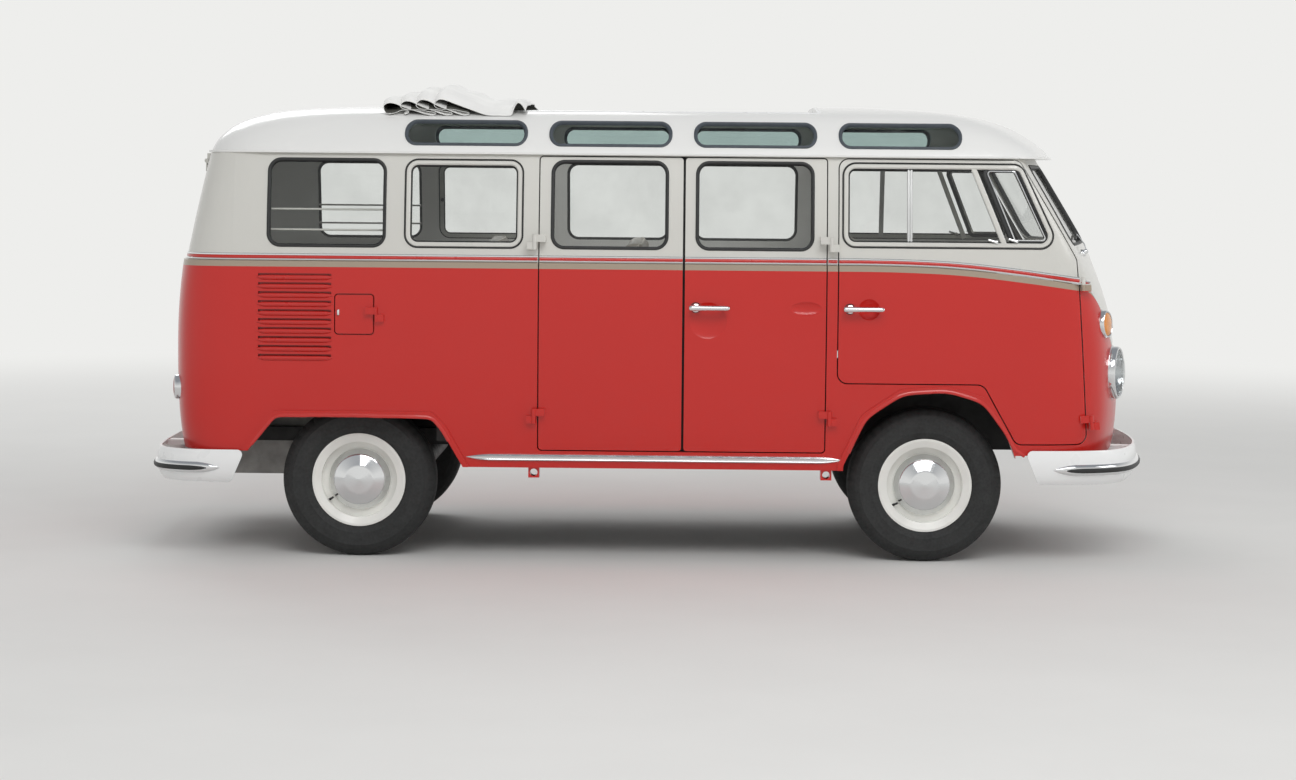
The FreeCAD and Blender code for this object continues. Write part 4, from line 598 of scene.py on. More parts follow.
# Window seals. Sections count from the edge of the hole, across and out of the skin
windows = {
    "bottom": 1.315, "top": 1.685, "corner": 0.055, "bite": 0.003,
    "spans": {"one": (-1.617, -1.120), "two": (-1.041, -0.544), "three": (-0.426, 0.064),
              "four": (0.180, 0.674)},
    "rightBodies": {"one": "van", "two": "van", "three": "cargo_door_rear", "four": "cargo_door_front"},
    "doorCorners": [(0.793, 1.331), (1.706, 1.331), (1.540, 1.685), (0.793, 1.685)],
    "fixedSeal": mm((2, -2), (2, 1.5), (-1, 3.8), (-6, 4.2), (-10, 2), (-13, -4), (-13.5, -13.5), (-1, -13.5),
                    (-1, -2)),
    "lineSeal": mm((2, -2), (2, 1.5), (-1, 3), (-4, 1.5), (-6, -4), (-6, -13.5), (-1, -13.5), (-1, -2)),
    "frame": mm((-5.5, -13), (-5.5, 0), (-8, 2.5), (-19, 2.5), (-23.5, -1), (-24.5, -6), (-24.5, -13)),
    "innerSeal": mm((-24.5, -13.5), (-24.5, -5), (-26.5, -4), (-29.5, -6.5), (-30.5, -13.5)),
    "skySeal": mm((3, -2), (3, 2), (0, 4.5), (-5, 5.5), (-10, 3), (-12.5, -2), (-13, -9.5), (-1, -9.5),
                  (-1, -2)),
    "plain": [("seal", "fixedSeal", "rubber")],
    "framed": [("gasket", "lineSeal", "rubber"), ("frame", "frame", "cream"),
               ("seal", "innerSeal", "rubber")],
}
skylights = {
    "count": 4, "front": 1.293, "length": 0.513, "pitch": 0.609, "bottom": 1.745, "top": 1.848,
    "corner": 0.048,
}
screens = {
    "half": [(0.032, 1.345), (0.745, 1.345), (0.695, 1.680), (0.032, 1.680)], "corner": 0.060,
    "tail": boxCorners((-0.510, 0.510), 1.290, 1.610), "tailCorner": 0.072,
}


def sealWindows():
    bite = windows["bite"]
    for sideName, side in sides:
        panes = []
        for key, span in windows["spans"].items():
            body = windows["rightBodies"][key] if side < 0 else "van"
            corners = boxCorners(span, windows["bottom"], windows["top"])
            panes.append((f"window_{key}_{sideName}", corners, body, "framed" if key == "two" else "plain"))
        panes.append((f"door_window_{sideName}", windows["doorCorners"], "front_door_" + sideName, "framed"))
        for name, corners, body, kind in panes:
            for part, section, finish in windows[kind]:
                edging(f"{name}_{part}", corners, windows["corner"], windows[section], bite,
                       partial(landSide, side), body, finish)
    for sideName, side in sides:
        for index in range(skylights["count"]):
            front = skylights["front"] - index * skylights["pitch"]
            corners = boxCorners((front - skylights["length"], front), skylights["bottom"], skylights["top"])
            edging(f"skylight_{sideName}_{index}_seal", corners, skylights["corner"], windows["skySeal"],
                   bite,
                   partial(landSide, side), "van", "greyRubber")
    for sideName, side in sides:
        corners = [(side * y, z) for y, z in screens["half"]]
        edging(f"windscreen_{sideName}_seal", corners, screens["corner"], windows["fixedSeal"], bite,
               partial(landEnd, 1), "van", "rubber")
    edging("tailgate_window_seal", screens["tail"], screens["tailCorner"], windows["fixedSeal"], bite,
           partial(landEnd, -1), "tailgate", "rubber")


# Door seals: dark bands behind the gaps round each door and lid
doors = {
    "band": mm((-17, -41), (17, -41), (17, -45), (-17, -45)), "inset": 0.008,
    "cargo": {"corners": boxCorners((-0.479, 0.732), 0.466, 1.704), "radius": 0.018},
    "front": {
        "corners": [(0.775, 0.760), (1.388, 0.760), (1.529, 0.509), (1.838, 0.509), (1.782, 1.289),
                    (1.535, 1.704), (0.775, 1.704)],
        "radius": 0.045,
    },
    "tailgate": {"corners": boxCorners((-0.615, 0.615), 0.925, 1.660), "radius": 0.090},
    "lid": {"corners": boxCorners((-0.450, 0.450), 0.560, 0.862), "radius": 0.080},
    "middle": {"x": 0.131, "low": 0.466, "high": 1.704, "count": 24},
}


def sealDoors():
    inset = doors["inset"]
    for key, ending, landAt in (
        ("cargo", "_right", partial(landSide, -1)), ("front", "_right", partial(landSide, -1)),
        ("front", "_left", partial(landSide, 1)), ("tailgate", "", partial(landEnd, -1)),
        ("lid", "", partial(landEnd, -1)),
    ):
        door = doors[key]
        edging(f"{key}_door_seal{ending}", door["corners"], door["radius"], doors["band"], -inset, landAt,
               "van",
               "rubber")
    middle = doors["middle"]
    heights = between(middle["low"], middle["high"], middle["count"])
    landed = [landSide(-1, middle["x"] + inset, z) for z in heights]
    post = strip("cargo_door_middle_seal", landed, doors["band"], up=(1, 0, 0), shift=-inset)
    settle(post, "cargo_door_front", "rubber")


# Belt moulding: a bright strip with a red insert that runs round the body above the
# ledge, drops over the front doors and meets in a vee low on the nose
belt = {
    "above": 0.0165, "step": 0.03, "tailHeight": 1.255, "cornerCentre": -1.50, "noseCentre": 1.50,
    "bright": mm((-14.5, -3), (-14.5, 3), (-12, 5.2), (-7.5, 4.6), (-5, 2), (5, 2), (7.5, 4.6), (12, 5.2),
                 (14.5, 3),
                 (14.5, -3)),
    "insert": mm((-5.2, 1), (-5.2, 3), (-3, 4.2), (3, 4.2), (5.2, 3), (5.2, 1)),
    "rearEnds": {"right": -0.4815, "left": 0.7725}, "door": (0.7805, 1.786), "cornerStep": 0.03,
    "runs": [("cargo_rear", -0.4735, 0.1255, "cargo_door_rear"),
             ("cargo_front", 0.1365, 0.7265, "cargo_door_front"),
             ("pillar", 0.7345, 0.7725, "van")],
    "tailEdge": 0.6175, "tailgateEdge": 0.6125, "tailCount": 36, "noseEnd": (1.7935, 1.1815),
    "vee": [(0.79, 1.183), (0.740, 1.125), (0.690, 1.055), (0.640, 0.985), (0.575, 0.905), (0.480, 0.820),
            (0.370, 0.730), (0.240, 0.630), (0.110, 0.545), (0.0, 0.505)],
}


def beltHeight(x):
    stations = paint["sideHeights"]
    if x <= stations[0][0]:
        return stations[0][1]
    run = evenRun(curved(stations, 16), 0.01)
    for before, after in zip(run, run[1:]):
        if x <= after.x:
            return before.y + (after.y - before.y) * (x - before.x) / (after.x - before.x)
    return run[-1].y


def landAround(centre, angle, z):
    # from outside towards a point on the middle line, at an angle from straight ahead
    away = Vector((cos(angle), sin(angle), 0))
    return meet(skin, Vector((centre, 0, z)) + away * 3, -away)


def seekAngle(centre, side, z, low, high, tooSmall):
    # the angle under which a certain width of the body is seen, found by halving
    for turn in range(24):
        angle = (low + high) / 2
        place, facing = landAround(centre, side * angle, z)
        if tooSmall(abs(place.y)):
            low = angle
        else:
            high = angle
    return angle, place, facing


def landNose(y, z):
    side = 1 if y >= 0 else -1
    return seekAngle(belt["noseCentre"], side, z, 0.0, radians(80), lambda width: width < abs(y))[1:]


def beltSides(side, rear, front):
    count = max(2, round((front - rear) / belt["step"]))
    return [landSide(side, x, beltHeight(x) + belt["above"]) for x in between(rear, front, count)]


def beltPiece(name, landed, body):
    settle(strip(name, landed, belt["bright"]), body, "chrome")
    settle(strip(name + "_insert", landed, belt["insert"]), body, "red")


def addBelt():
    corner, height = belt["cornerCentre"], belt["tailHeight"] + belt["above"]

    def tailAngle(side, y):
        return seekAngle(corner, side, height, radians(90), radians(180), lambda width: width > y)[0]

    for sideName, side in sides:
        first, last = tailAngle(side, belt["tailEdge"]), radians(90)
        angles = between(first, last, max(2, round(abs(last - first) / radians(3))))
        tail = [landAround(corner, side * angle, height) for angle in angles]
        rear = beltSides(side, corner + belt["cornerStep"], belt["rearEnds"][sideName])
        beltPiece(f"belt_rear_{sideName}", tail + rear, "van")
        beltPiece(f"belt_front_door_{sideName}", beltSides(side, *belt["door"]), "front_door_" + sideName)
    for name, rear, front, body in belt["runs"]:
        beltPiece("belt_" + name, beltSides(-1, rear, front), body)
    halfTurn = pi - tailAngle(-1, belt["tailgateEdge"])
    angles = between(pi - halfTurn, pi + halfTurn, belt["tailCount"])
    beltPiece("belt_tailgate", [landAround(corner, angle, height) for angle in angles], "tailgate")
    half = evenRun(curved(belt["vee"], 16), belt["step"] / 2)
    line = [Vector((-p.x, p.y)) for p in half] + half[-2::-1]
    nose = []
    for before, point, after in zip(line, line[1:], line[2:]):
        along = (after - before).normalized()
        nose.append(landNose(*(point + Vector((-along.y, along.x)) * belt["above"])))
    x, z = belt["noseEnd"]
    ends = [landSide(side, x, z + belt["above"]) for sideName, side in sides]
    beltPiece("belt_nose", ends[:1] + nose + ends[1:], "van")


sealWindows()
print("windows sealed")
sealDoors()
addBelt()
print("doors sealed, belt moulding on")


# Cab door windows: a fixed quarter light behind a slanted post, and two sliding panes
quarter = {
    "post": [(1.474, 1.337), (1.334, 1.680)], "slide": [(1.075, 1.341), (1.075, 1.675)], "count": 8,
    "postSection": mm((-11, -6), (-11, 9), (-7, 12), (7, 12), (11, 9), (11, -6)),
    "slideSection": mm((-11, -4), (-11, 6), (-9, 9), (-3, 9), (-1.5, 4), (1.5, 4), (3, 9), (9, 9), (11, 6),
                       (11, -4)),
    "corners": [(1.500, 1.346), (1.676, 1.346), (1.523, 1.672), (1.366, 1.672)], "corner": 0.030,
    "rubber": mm((2, -4), (2, 6), (-3, 10), (-11, 10), (-15, 5), (-15, -4)),
    "bright": mm((-15, -3), (-15, 6), (-18, 9), (-22, 9), (-24, 5), (-24, -3)),
    "catches": [(1.436, 1.356), (1.520, 1.360)], "lever": (-0.034, 0, 0.010), "leverRadius": 0.005,
    "knob": mm((0, 0), (9, 0), (9, 6), (6, 10), (4, 18), (6, 24), (0, 26)), "knobOut": 0.020,
}


def addQuarterLights():
    for sideName, side in sides:
        body = "front_door_" + sideName
        landAt = partial(landSide, side, tree=shellTree(body + "_glass"))

        def upright(name, line, section, finish):
            low, high = (Vector(end) for end in line)
            landed = [landAt(*low.lerp(high, share)) for share in between(0, 1, quarter["count"])]
            settle(strip(f"{name}_{sideName}", landed, section, up=(1, 0, 0)), body, finish)

        upright("quarter_post", quarter["post"], quarter["postSection"], "cream")
        for name, section, finish in (("seal", "rubber", "rubber"), ("frame", "bright", "chrome")):
            edging(f"quarter_{name}_{sideName}", quarter["corners"], quarter["corner"], quarter[section], 0.0,
                   landAt, body, finish)
        upright("pane_slider", quarter["slide"], quarter["slideSection"], "satin")
        for index, (x, z) in enumerate(quarter["catches"]):
            place, facing = landAt(x, z)
            name = f"pane_catch_{sideName}_{index}_knob"
            knob = lathe(name, quarter["knob"], 24, place, facing)
            far = place + facing * quarter["knobOut"]
            lever = pipe("lever", [far, far + Vector(quarter["lever"])], quarter["leverRadius"], 10)
            settle(join(name, [knob, lever]), body, "chrome")


# Guard bars behind the rearmost side windows, and catches of the windows that swing out
guards = {
    "heights": (1.388, 1.475), "rear": -1.612, "front": -1.124, "count": 12, "radius": 0.0045,
    "behind": 0.022,
    "catchPlace": (-1.022, 1.500), "catch": mm((0, -4), (10, -4), (10, 3), (7, 6), (4, 7), (0, 7.5)),
}


def addGuards():
    for sideName, side in sides:
        landAt = partial(landSide, side, tree=shellTree("side_glass_" + sideName))
        for index, z in enumerate(guards["heights"]):
            landed = [landAt(x, z) for x in between(guards["rear"], guards["front"], guards["count"])]
            points = [place - facing * guards["behind"] for place, facing in landed]
            bar = pipe(f"window_guard_{sideName}_{index}", points, guards["radius"])
            settle(bar, "van", "cream")
        catch = lathe(f"window_catch_{sideName}", guards["catch"], 24, *landAt(*guards["catchPlace"]))
        settle(catch, "van", "chrome")


# Lamps: a bright rim, a domed lens, and a mirror bowl with a bulb behind it. Each turns
# part of the way round with the body
lampForms = {
    "headlamp": {
        "place": (0.575, 0.800), "end": 1, "proud": 0.022, "turn": 1.10, "lens": "lampGlass",
        "node": "front_lamps", "slot": "lamp_glass", "shell": ["front_panel"],
        "rim": mm((99, 4), (100, 12), (103.5, 15.5), (108, 14), (111.5, 8), (112.5, 0), (112.5, -12),
                  (119, -18),
                  (119, -50), (104, -50), (104, -10)),
        "glass": mm((101.5, 6), (98, 12), (85, 20), (66, 27), (44, 31.5), (22, 33.5), (0, 34)),
        "bowl": mm((102, 4), (98, -8), (88, -26), (70, -46), (48, -60), (22, -68), (0, -70)),
        "bulb": mm((0, -70), (10, -66), (10, -50), (13, -40), (13, -28), (8, -18), (0, -15)),
    },
    "signal": {
        "place": (0.685, 1.012), "end": 1, "proud": 0.013, "turn": 1.15, "lens": "amber",
        "node": "front_lamps", "slot": "lamp_glass", "shell": ["front_panel"],
        "rim": mm((49, 6), (49.5, 12), (52.5, 14.5), (56, 12.5), (58.5, 7), (59, 0), (60, -10), (64, -14),
                  (64, -40),
                  (53, -40), (52, -4)),
        "glass": mm((50.5, 6), (48, 11), (40, 14.5), (28, 16.5), (12, 17.8), (0, 18)),
        "bowl": mm((51, 4), (47, -10), (36, -24), (18, -31), (0, -33)),
        "bulb": mm((0, -33), (6, -30), (7, -16), (5, -9), (0, -7)),
    },
    "tail_lamp": {
        "place": (0.700, 0.712), "end": -1, "proud": 0.008, "turn": 0.6, "lens": "redLens",
        "node": "tail_lamps", "slot": "lamp_plastic",
        "shell": ["rear_panel", "side_panel_left", "side_panel_right"],
        "rim": mm((44, 8), (44.5, 12), (47, 13.5), (50, 11.5), (52.5, 6), (53, 0), (54, -8), (56, -12),
                  (56, -36),
                  (48, -36), (47, -2)),
        "glass": mm((45.5, 8), (44, 12), (38, 15.5), (34, 15), (32, 16.5), (18, 18.5), (0, 19)),
        "bowl": mm((46, 4), (42, -10), (30, -22), (14, -28), (0, -30)),
        "bulb": mm((0, -30), (6, -28), (7, -14), (4, -6), (0, -5)),
    },
}
lampFit = {"beside": 0.012, "upShare": 0.4, "glassThick": 0.0025, "steps": 72}


def lampSeat(form, y, z):
    # the middle of a lamp's ring on the body, and which way the lamp faces
    shell, radius = shellTree(*form["shell"]), form["rim"][3][0] + lampFit["beside"]
    around = [landEnd(form["end"], y + across, z + up, shell) for across, up in ring(radius)]
    near = [(place, facing) for place, facing in around if place is not None]
    middle = sum((place for place, facing in near), Vector()) / len(near)
    facing = sum((facing for place, facing in near), Vector()).normalized()
    ahead = Vector((form["end"], 0, 0)).lerp(facing, form["turn"])
    ahead.z *= lampFit["upShare"]
    ahead.normalize()
    return Vector((middle.x, y, z)) + ahead * form["proud"], ahead


def addLamps():
    for kind, form in lampForms.items():
        for sideName, side in reversed(sides):
            place, ahead = lampSeat(form, side * form["place"][0], form["place"][1])
            for part, finish in (("rim", "chrome"), ("glass", form["lens"]), ("bowl", "mirror"), ("bulb", "bulb")):
                piece = lathe(f"{kind}_{part}_{sideName}", form[part], lampFit["steps"], place, ahead)
                if part == "glass":
                    shape(piece, "SOLIDIFY", thickness=lampFit["glassThick"], offset=-1)
                settle(piece, "van", finish)
                if part == "rim":
                    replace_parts(piece, form["node"])


# Wheels: bright caps over the hubs, valves and rubber with a road tread
wheels = {
    "axles": {"front": (1.160, 0.6875, 0.326), "rear": (-1.240, 0.680, 0.326)},
    "capRadius": 0.1335, "capProud": 0.0014, "capSteps": 30, "capEdge": (0.0006, 0.004),
    "probe": 0.5, "valveRadius": 0.158, "valveTurn": 215, "valveLean": (0.8, 0.6),
    "valve": mm((0, -4), (5.5, -4), (5, 12), (3.5, 14), (3.5, 22), (4.5, 22), (4.5, 31), (3, 33), (0, 33)),
}
tyres = {
    "steps": 180, "grooveDepth": 0.007, "grooveHalf": 0.0028, "grooves": (0.012, 0.034), "top": 0.3258,
    "notch": 0.0035, "notchSpan": (0.305, 0.323), "notchFrom": 0.05, "notchEvery": 4, "squeeze": 0.975,
    "half": mm((199, 70), (201, 76.5), (206, 80), (211, 84), (225, 88.5), (227, 89.6), (230, 89), (245, 91.2),
               (262, 92.5), (276, 90.8), (278, 91.4), (280, 90), (292, 85), (300, 80), (306, 75), (313, 68),
               (319, 61), (322, 56), (324.5, 44)),
    "inside": mm((193, -66), (193, 66)),
}


def treadMesh():
    half = list(tyres["half"])
    wide, top, floor = tyres["grooveHalf"], tyres["top"], tyres["top"] - tyres["grooveDepth"]
    for groove in reversed(tyres["grooves"]):
        half += [(top, groove + wide), (floor, groove + wide * 0.6), (floor, groove - wide * 0.6),
                 (top, groove - wide)]
    outline = half + [(radius, -width) for radius, width in reversed(half)]
    tread = lathe("treadMaster", outline + tyres["inside"] + outline[:1], tyres["steps"])
    low, high = tyres["notchSpan"]
    for vertex in tread.data.vertices:
        radius = Vector((vertex.co.x, vertex.co.y)).length
        index = round(atan2(vertex.co.y, vertex.co.x) / (2 * pi / tyres["steps"]))
        if low < radius < high and abs(vertex.co.z) > tyres["notchFrom"] and index % tyres["notchEvery"] == 0:
            vertex.co.x *= 1 - tyres["notch"] / radius
            vertex.co.y *= 1 - tyres["notch"] / radius
            vertex.co.z *= tyres["squeeze"]
    return tread


def addWheels():
    tread = treadMesh()
    for end, (x, y, z) in wheels["axles"].items():
        for sideName, side in reversed(sides):
            name = f"{end}_{sideName}"
            body, centre, out = name + "_wheel", Vector((x, side * y, z)), Vector((0, side, 0))
            tyre = turnTo(link(f"road_tyre_{name}", tread.data.copy()), centre, out)
            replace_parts(settle(tyre, body, "tyre", angle=28), "tyre_" + name)
            tree = shellTree("wheel_" + name)
            outline = []
            for i in range(wheels["capSteps"] + 1):
                radius = wheels["capRadius"] * (i / wheels["capSteps"]) ** 0.8
                place, facing = meet(tree, centre + out * wheels["probe"] + Vector((radius, 0, 0)), -out)
                outline.append((radius, (place - centre).dot(out) + wheels["capProud"]))
            wider, lower = wheels["capEdge"]
            outline.append((wheels["capRadius"] + wider, outline[-1][1] - lower))
            settle(lathe(f"hubcap_{name}", outline, 96, centre, out), body, "chrome")
            turn = radians(wheels["valveTurn"])
            away = Vector((cos(turn) * -side, 0, sin(turn)))
            place, facing = meet(tree, centre + away * wheels["valveRadius"] + out * wheels["probe"], -out)
            outward, inwards = wheels["valveLean"]
            ahead = (out * outward - away * inwards).normalized()
            settle(lathe(f"valve_{name}", wheels["valve"], 20, place, ahead), body, "rubber")
    bpy.data.objects.remove(tread)


# Bumpers: a bright strip with a black insert along each blade
trims = {
    "front": {"centre": 1.35, "z": 0.406, "tip": 1.690, "end": 1},
    "rear": {"centre": -1.45, "z": 0.384, "tip": -1.812, "end": -1},
    "bright": mm((-24, -2), (-20, 6), (-11.5, 11.5), (11.5, 11.5), (20, 6), (24, -2)),
    "insert": mm((-11, 9), (-9.5, 15), (-4, 18), (4, 18), (9.5, 15), (11, 9)),
    "taper": (0.0, 0.45, 0.72, 0.9), "insertLag": 0.030, "tipWidth": 0.875, "count": 96,
}


def addBumperTrims():
    for name in ("front", "rear"):
        form = trims[name]
        end, tree = form["end"], shellTree("bumper_" + name)
        for part, lag, finish in (("bright", 0.0, "chrome"), ("insert", trims["insertLag"], "rubber")):
            reach = atan2(trims["tipWidth"], (form["tip"] + end * lag - form["centre"]) * end)
            landed = []
            for angle in between(reach, -reach, trims["count"]):
                away = Vector((end * cos(angle), sin(angle), 0))
                landed.append(meet(tree, Vector((form["centre"], 0, form["z"])) + away * 3, -away))
            piece = strip(f"bumper_{name}_{part}", landed, trims[part])
            settle(pointed(piece, landed, len(trims[part]), trims["taper"]), "van", finish)


# Rolled lips round the wheel arches
arches = {
    "front": {"middle": (1.165, 0.320), "angles": (156, 20), "evening": 8},
    "rear": {"middle": (-1.310, 0.320), "angles": (156, 22), "evening": 1},
    "step": 2, "start": 0.24, "end": 0.60, "stride": 0.002, "reach": 0.009, "outside": 0.7, "width": 0.85,
    "section": mm((-3, -14), (-4, 0), (-1, 3), (3, 3.4), (7, 1.6), (13, -1), (13, -3), (4, -3), (3, -14)),
}


def archEdge(form, side):
    # places just outside the cut edge of an arch, felt out from its middle, its corners evened out
    middle = Vector(form["middle"])
    first, last = form["angles"]
    turns = between(first, last, round(abs(last - first) / arches["step"]))
    headings, found = [Vector((cos(radians(turn)), sin(radians(turn)))) for turn in turns], []
    for away in headings:
        out = arches["start"]
        while out < arches["end"]:
            place, facing = landSide(side, *(middle + away * out))
            if place is not None and place.y * side > arches["outside"]:
                break
            out += arches["stride"]
        found.append(out)
    for turn in range(form["evening"]):
        found = found[:1] + [(a + 2 * b + c) / 4 for a, b, c in zip(found, found[1:], found[2:])] + found[-1:]
    return [middle + away * (out + arches["reach"]) for away, out in zip(headings, found)]


def addArchLips():
    for sideName, side in sides:
        for end in ("front", "rear"):
            middleX, middleZ = arches[end]["middle"]
            landed = [landSide(side, *point) for point in archEdge(arches[end], side)]
            landed = [(place, facing) for place, facing in landed
                      if place is not None and place.y * side > arches["outside"]]
            lip = strip(f"arch_lip_{end}_{sideName}", landed, arches["section"], shift=-arches["reach"],
                        around=(middleX, side * arches["width"], middleZ))
            settle(lip, "van", "red")


# Sill strips below the doors, pointed at both ends, and lips over the louvres
sill = {
    "rear": -0.780, "front": 0.808, "z": 0.438, "count": 64, "taper": (0.0, 0.4, 0.7, 0.9),
    "section": mm((-15, -2), (-13, 6), (-7.5, 10.5), (-4.5, 8.5), (4.5, 8.5), (7.5, 10.5), (13, 6), (15, -2)),
}
louvres = {
    "rear": -1.655, "front": -1.341, "low": 0.851, "high": 1.189, "count": 10, "below": 0.006,
    "taper": (0.35, 0.9),
    "lip": mm((-14, -2), (-12, 3), (-7, 7), (-1, 8.8), (4, 7.8), (6.5, 4.5), (6.5, -2)),
}


def addSideTrims():
    for sideName, side in sides:
        landed = [landSide(side, x, sill["z"]) for x in between(sill["rear"], sill["front"], sill["count"])]
        piece = strip(f"sill_strip_{sideName}", landed, sill["section"])
        settle(pointed(piece, landed, len(sill["section"]), sill["taper"]), "van", "chrome")
        pieces = []
        for edge in between(louvres["low"], louvres["high"], louvres["count"] - 1):
            landed = []
            for x in between(louvres["rear"], louvres["front"], 16):
                place, facing = landSide(side, x, edge - louvres["below"])
                landed.append((place + Vector((0, 0, louvres["below"])), facing))
            lip = strip(f"louvre_lips_{sideName}", landed, louvres["lip"])
            pieces.append(pointed(lip, landed, len(louvres["lip"]), louvres["taper"]))
        settle(join(f"louvre_lips_{sideName}", pieces), "van", "red")


addQuarterLights()
addGuards()
addLamps()
addWheels()
addBumperTrims()
addSideTrims()
addArchLips()
print("window fittings, lamps, wheels and strips on")


# Door pulls: a bright grip over two posts, with a round boss and gasket at the rear one
pulls = {
    "z": 1.075, "probe": 0.0135, "gripCentre": 0.8954, "postReach": 0.059, "bossRadius": 0.019,
    "foreRadius": 0.0095, "sink": 0.004, "necks": (0.0112, 0.0100),
    "places": [(0.241, -1, "cargo_door_front"), (0.885, -1, "front_door_right"),
               (0.885, 1, "front_door_left")],
    "grip": mm((0, -88), (6, -87.6), (10, -85.5), (12, -80), (12.5, -70), (11.8, -45), (10.8, -15),
               (10.6, 30),
               (10.6, 60), (9.8, 74), (7.5, 81.5), (4, 84.5), (0, 85)),
    "gasket": mm((0, 0), (22.5, 0), (22.5, 6), (20.5, 8.5), (0, 8.5)),
}


def addPulls():
    z = pulls["z"]
    for x, side, body in pulls["places"]:
        pieces = [lathe("grip", pulls["grip"], 32, (x, side * pulls["gripCentre"], z), (1, 0, 0))]
        for turn, radius in ((-1, pulls["bossRadius"]), (1, pulls["foreRadius"])):
            end = x + turn * pulls["postReach"]
            place, facing = landSide(side, end, z + pulls["probe"])
            foot = place.y - side * pulls["sink"]
            length = abs(side * pulls["gripCentre"] - foot)
            shoulder, neck = (min(radius, width) for width in pulls["necks"])
            outline = [(0, 0), (radius, 0), (radius, length * 0.80), (radius * 0.92, length * 0.92),
                       (shoulder, length * 0.98), (neck, length * 1.05), (0, length * 1.10)]
            pieces.append(lathe("post", outline, 32, (end, foot, z), (0, side, 0)))
            if turn < 0:
                gasket = lathe(f"{body}_pull_gasket", pulls["gasket"], 32, (end, foot, z), (0, side, 0))
                settle(gasket, body, "rubber")
        settle(join(f"{body}_pull", pieces), body, "chrome")


# Small fittings: the flap's lock, the handle of the tailgate and the lock of the engine lid
fittings = {
    "flapLock": (-1.314, 1.042), "tailHandle": (0.0, 0.962), "lidLock": (0.0, 0.600),
    "lockSize": (0.010, 0.009, 0.024), "lockSink": 0.002, "barOut": 0.026,
    "boss": mm((0, -4), (21, -4), (21, 2), (17, 8), (11, 12), (10, 30), (0, 31)),
    "bar": mm((0, -62), (6, -60), (8.5, -52), (10.5, -15), (10.5, 15), (8.5, 52), (6, 60), (0, 62)),
    "lid": mm((0, -4), (20, -4), (20, 3), (16, 8), (8, 10), (7, 22), (12, 24), (12, 30), (0, 31)),
}


def addFittings():
    place, facing = landSide(-1, *fittings["flapLock"])
    size = fittings["lockSize"]
    bpy.ops.mesh.primitive_cube_add(size=1, location=place + facing * (size[1] / 2 - fittings["lockSink"]),
                                    scale=size)
    lock = bpy.context.object
    lock.name = "fuel_flap_lock"
    settle(shape(lock, "BEVEL", width=0.0025, segments=3), "fuel_flap", "chrome")
    place, facing = landEnd(-1, *fittings["tailHandle"])
    stem = lathe("stem", fittings["boss"], 40, place, facing)
    bar = lathe("bar", fittings["bar"], 28, place + facing * fittings["barOut"], (0, 1, 0))
    settle(join("tailgate_handle", [stem, bar]), "tailgate", "chrome")
    lock = lathe("engine_lid_lock", fittings["lid"], 40, *landEnd(-1, *fittings["lidLock"]))
    settle(lock, "engine_lid", "chrome")


# Wipers: a pivot below each pane, an arm and a blade parked along its foot
wipers = {
    "pivot": (0.500, 1.308), "elbow": (0.400, 1.334), "tip": (0.285, 1.372), "bladeHalf": 0.135,
    "slope": 0.009, "lift": 0.020, "armStart": 0.018, "armRadius": 0.0042,
    "bladeFacing": (1, 0, 0.35), "bladeOut": (0.004, 0, 0),
    "boss": mm((0, -6), (17, -6), (16, 4), (11, 9), (9, 20), (6, 24), (0, 25)),
    "blade": mm((-1.2, 0), (1.2, 0), (3.5, 8), (3.5, 12), (-3.5, 12), (-3.5, 8)),
}


def addWipers():
    tree = shellTree("windscreen", "front_panel")
    for sideName, side in sides:
        y, z = wipers["pivot"]
        place, facing = landNose(side * y, z)
        name = f"wiper_arm_{sideName}"
        pivot = lathe(name, wipers["boss"], 32, place, facing)
        points = [place + facing * wipers["armStart"]]
        for y, z in (wipers["elbow"], wipers["tip"]):
            near, out = landEnd(1, side * y, z, tree)
            points.append(near + out * wipers["lift"])
        settle(join(name, [pivot, pipe("arm", points, wipers["armRadius"], 12, 0.6)]), "van", "chrome")
        landed = []
        for share in between(-1, 1, 12):
            y, z = wipers["tip"][0] + wipers["bladeHalf"] * share, wipers["tip"][1] - wipers["slope"] * share
            near, out = landEnd(1, side * y, z, tree)
            landed.append((near + Vector(wipers["bladeOut"]), Vector(wipers["bladeFacing"]).normalized()))
        settle(strip(f"wiper_blade_{sideName}", landed, wipers["blade"]), "van", "rubber")


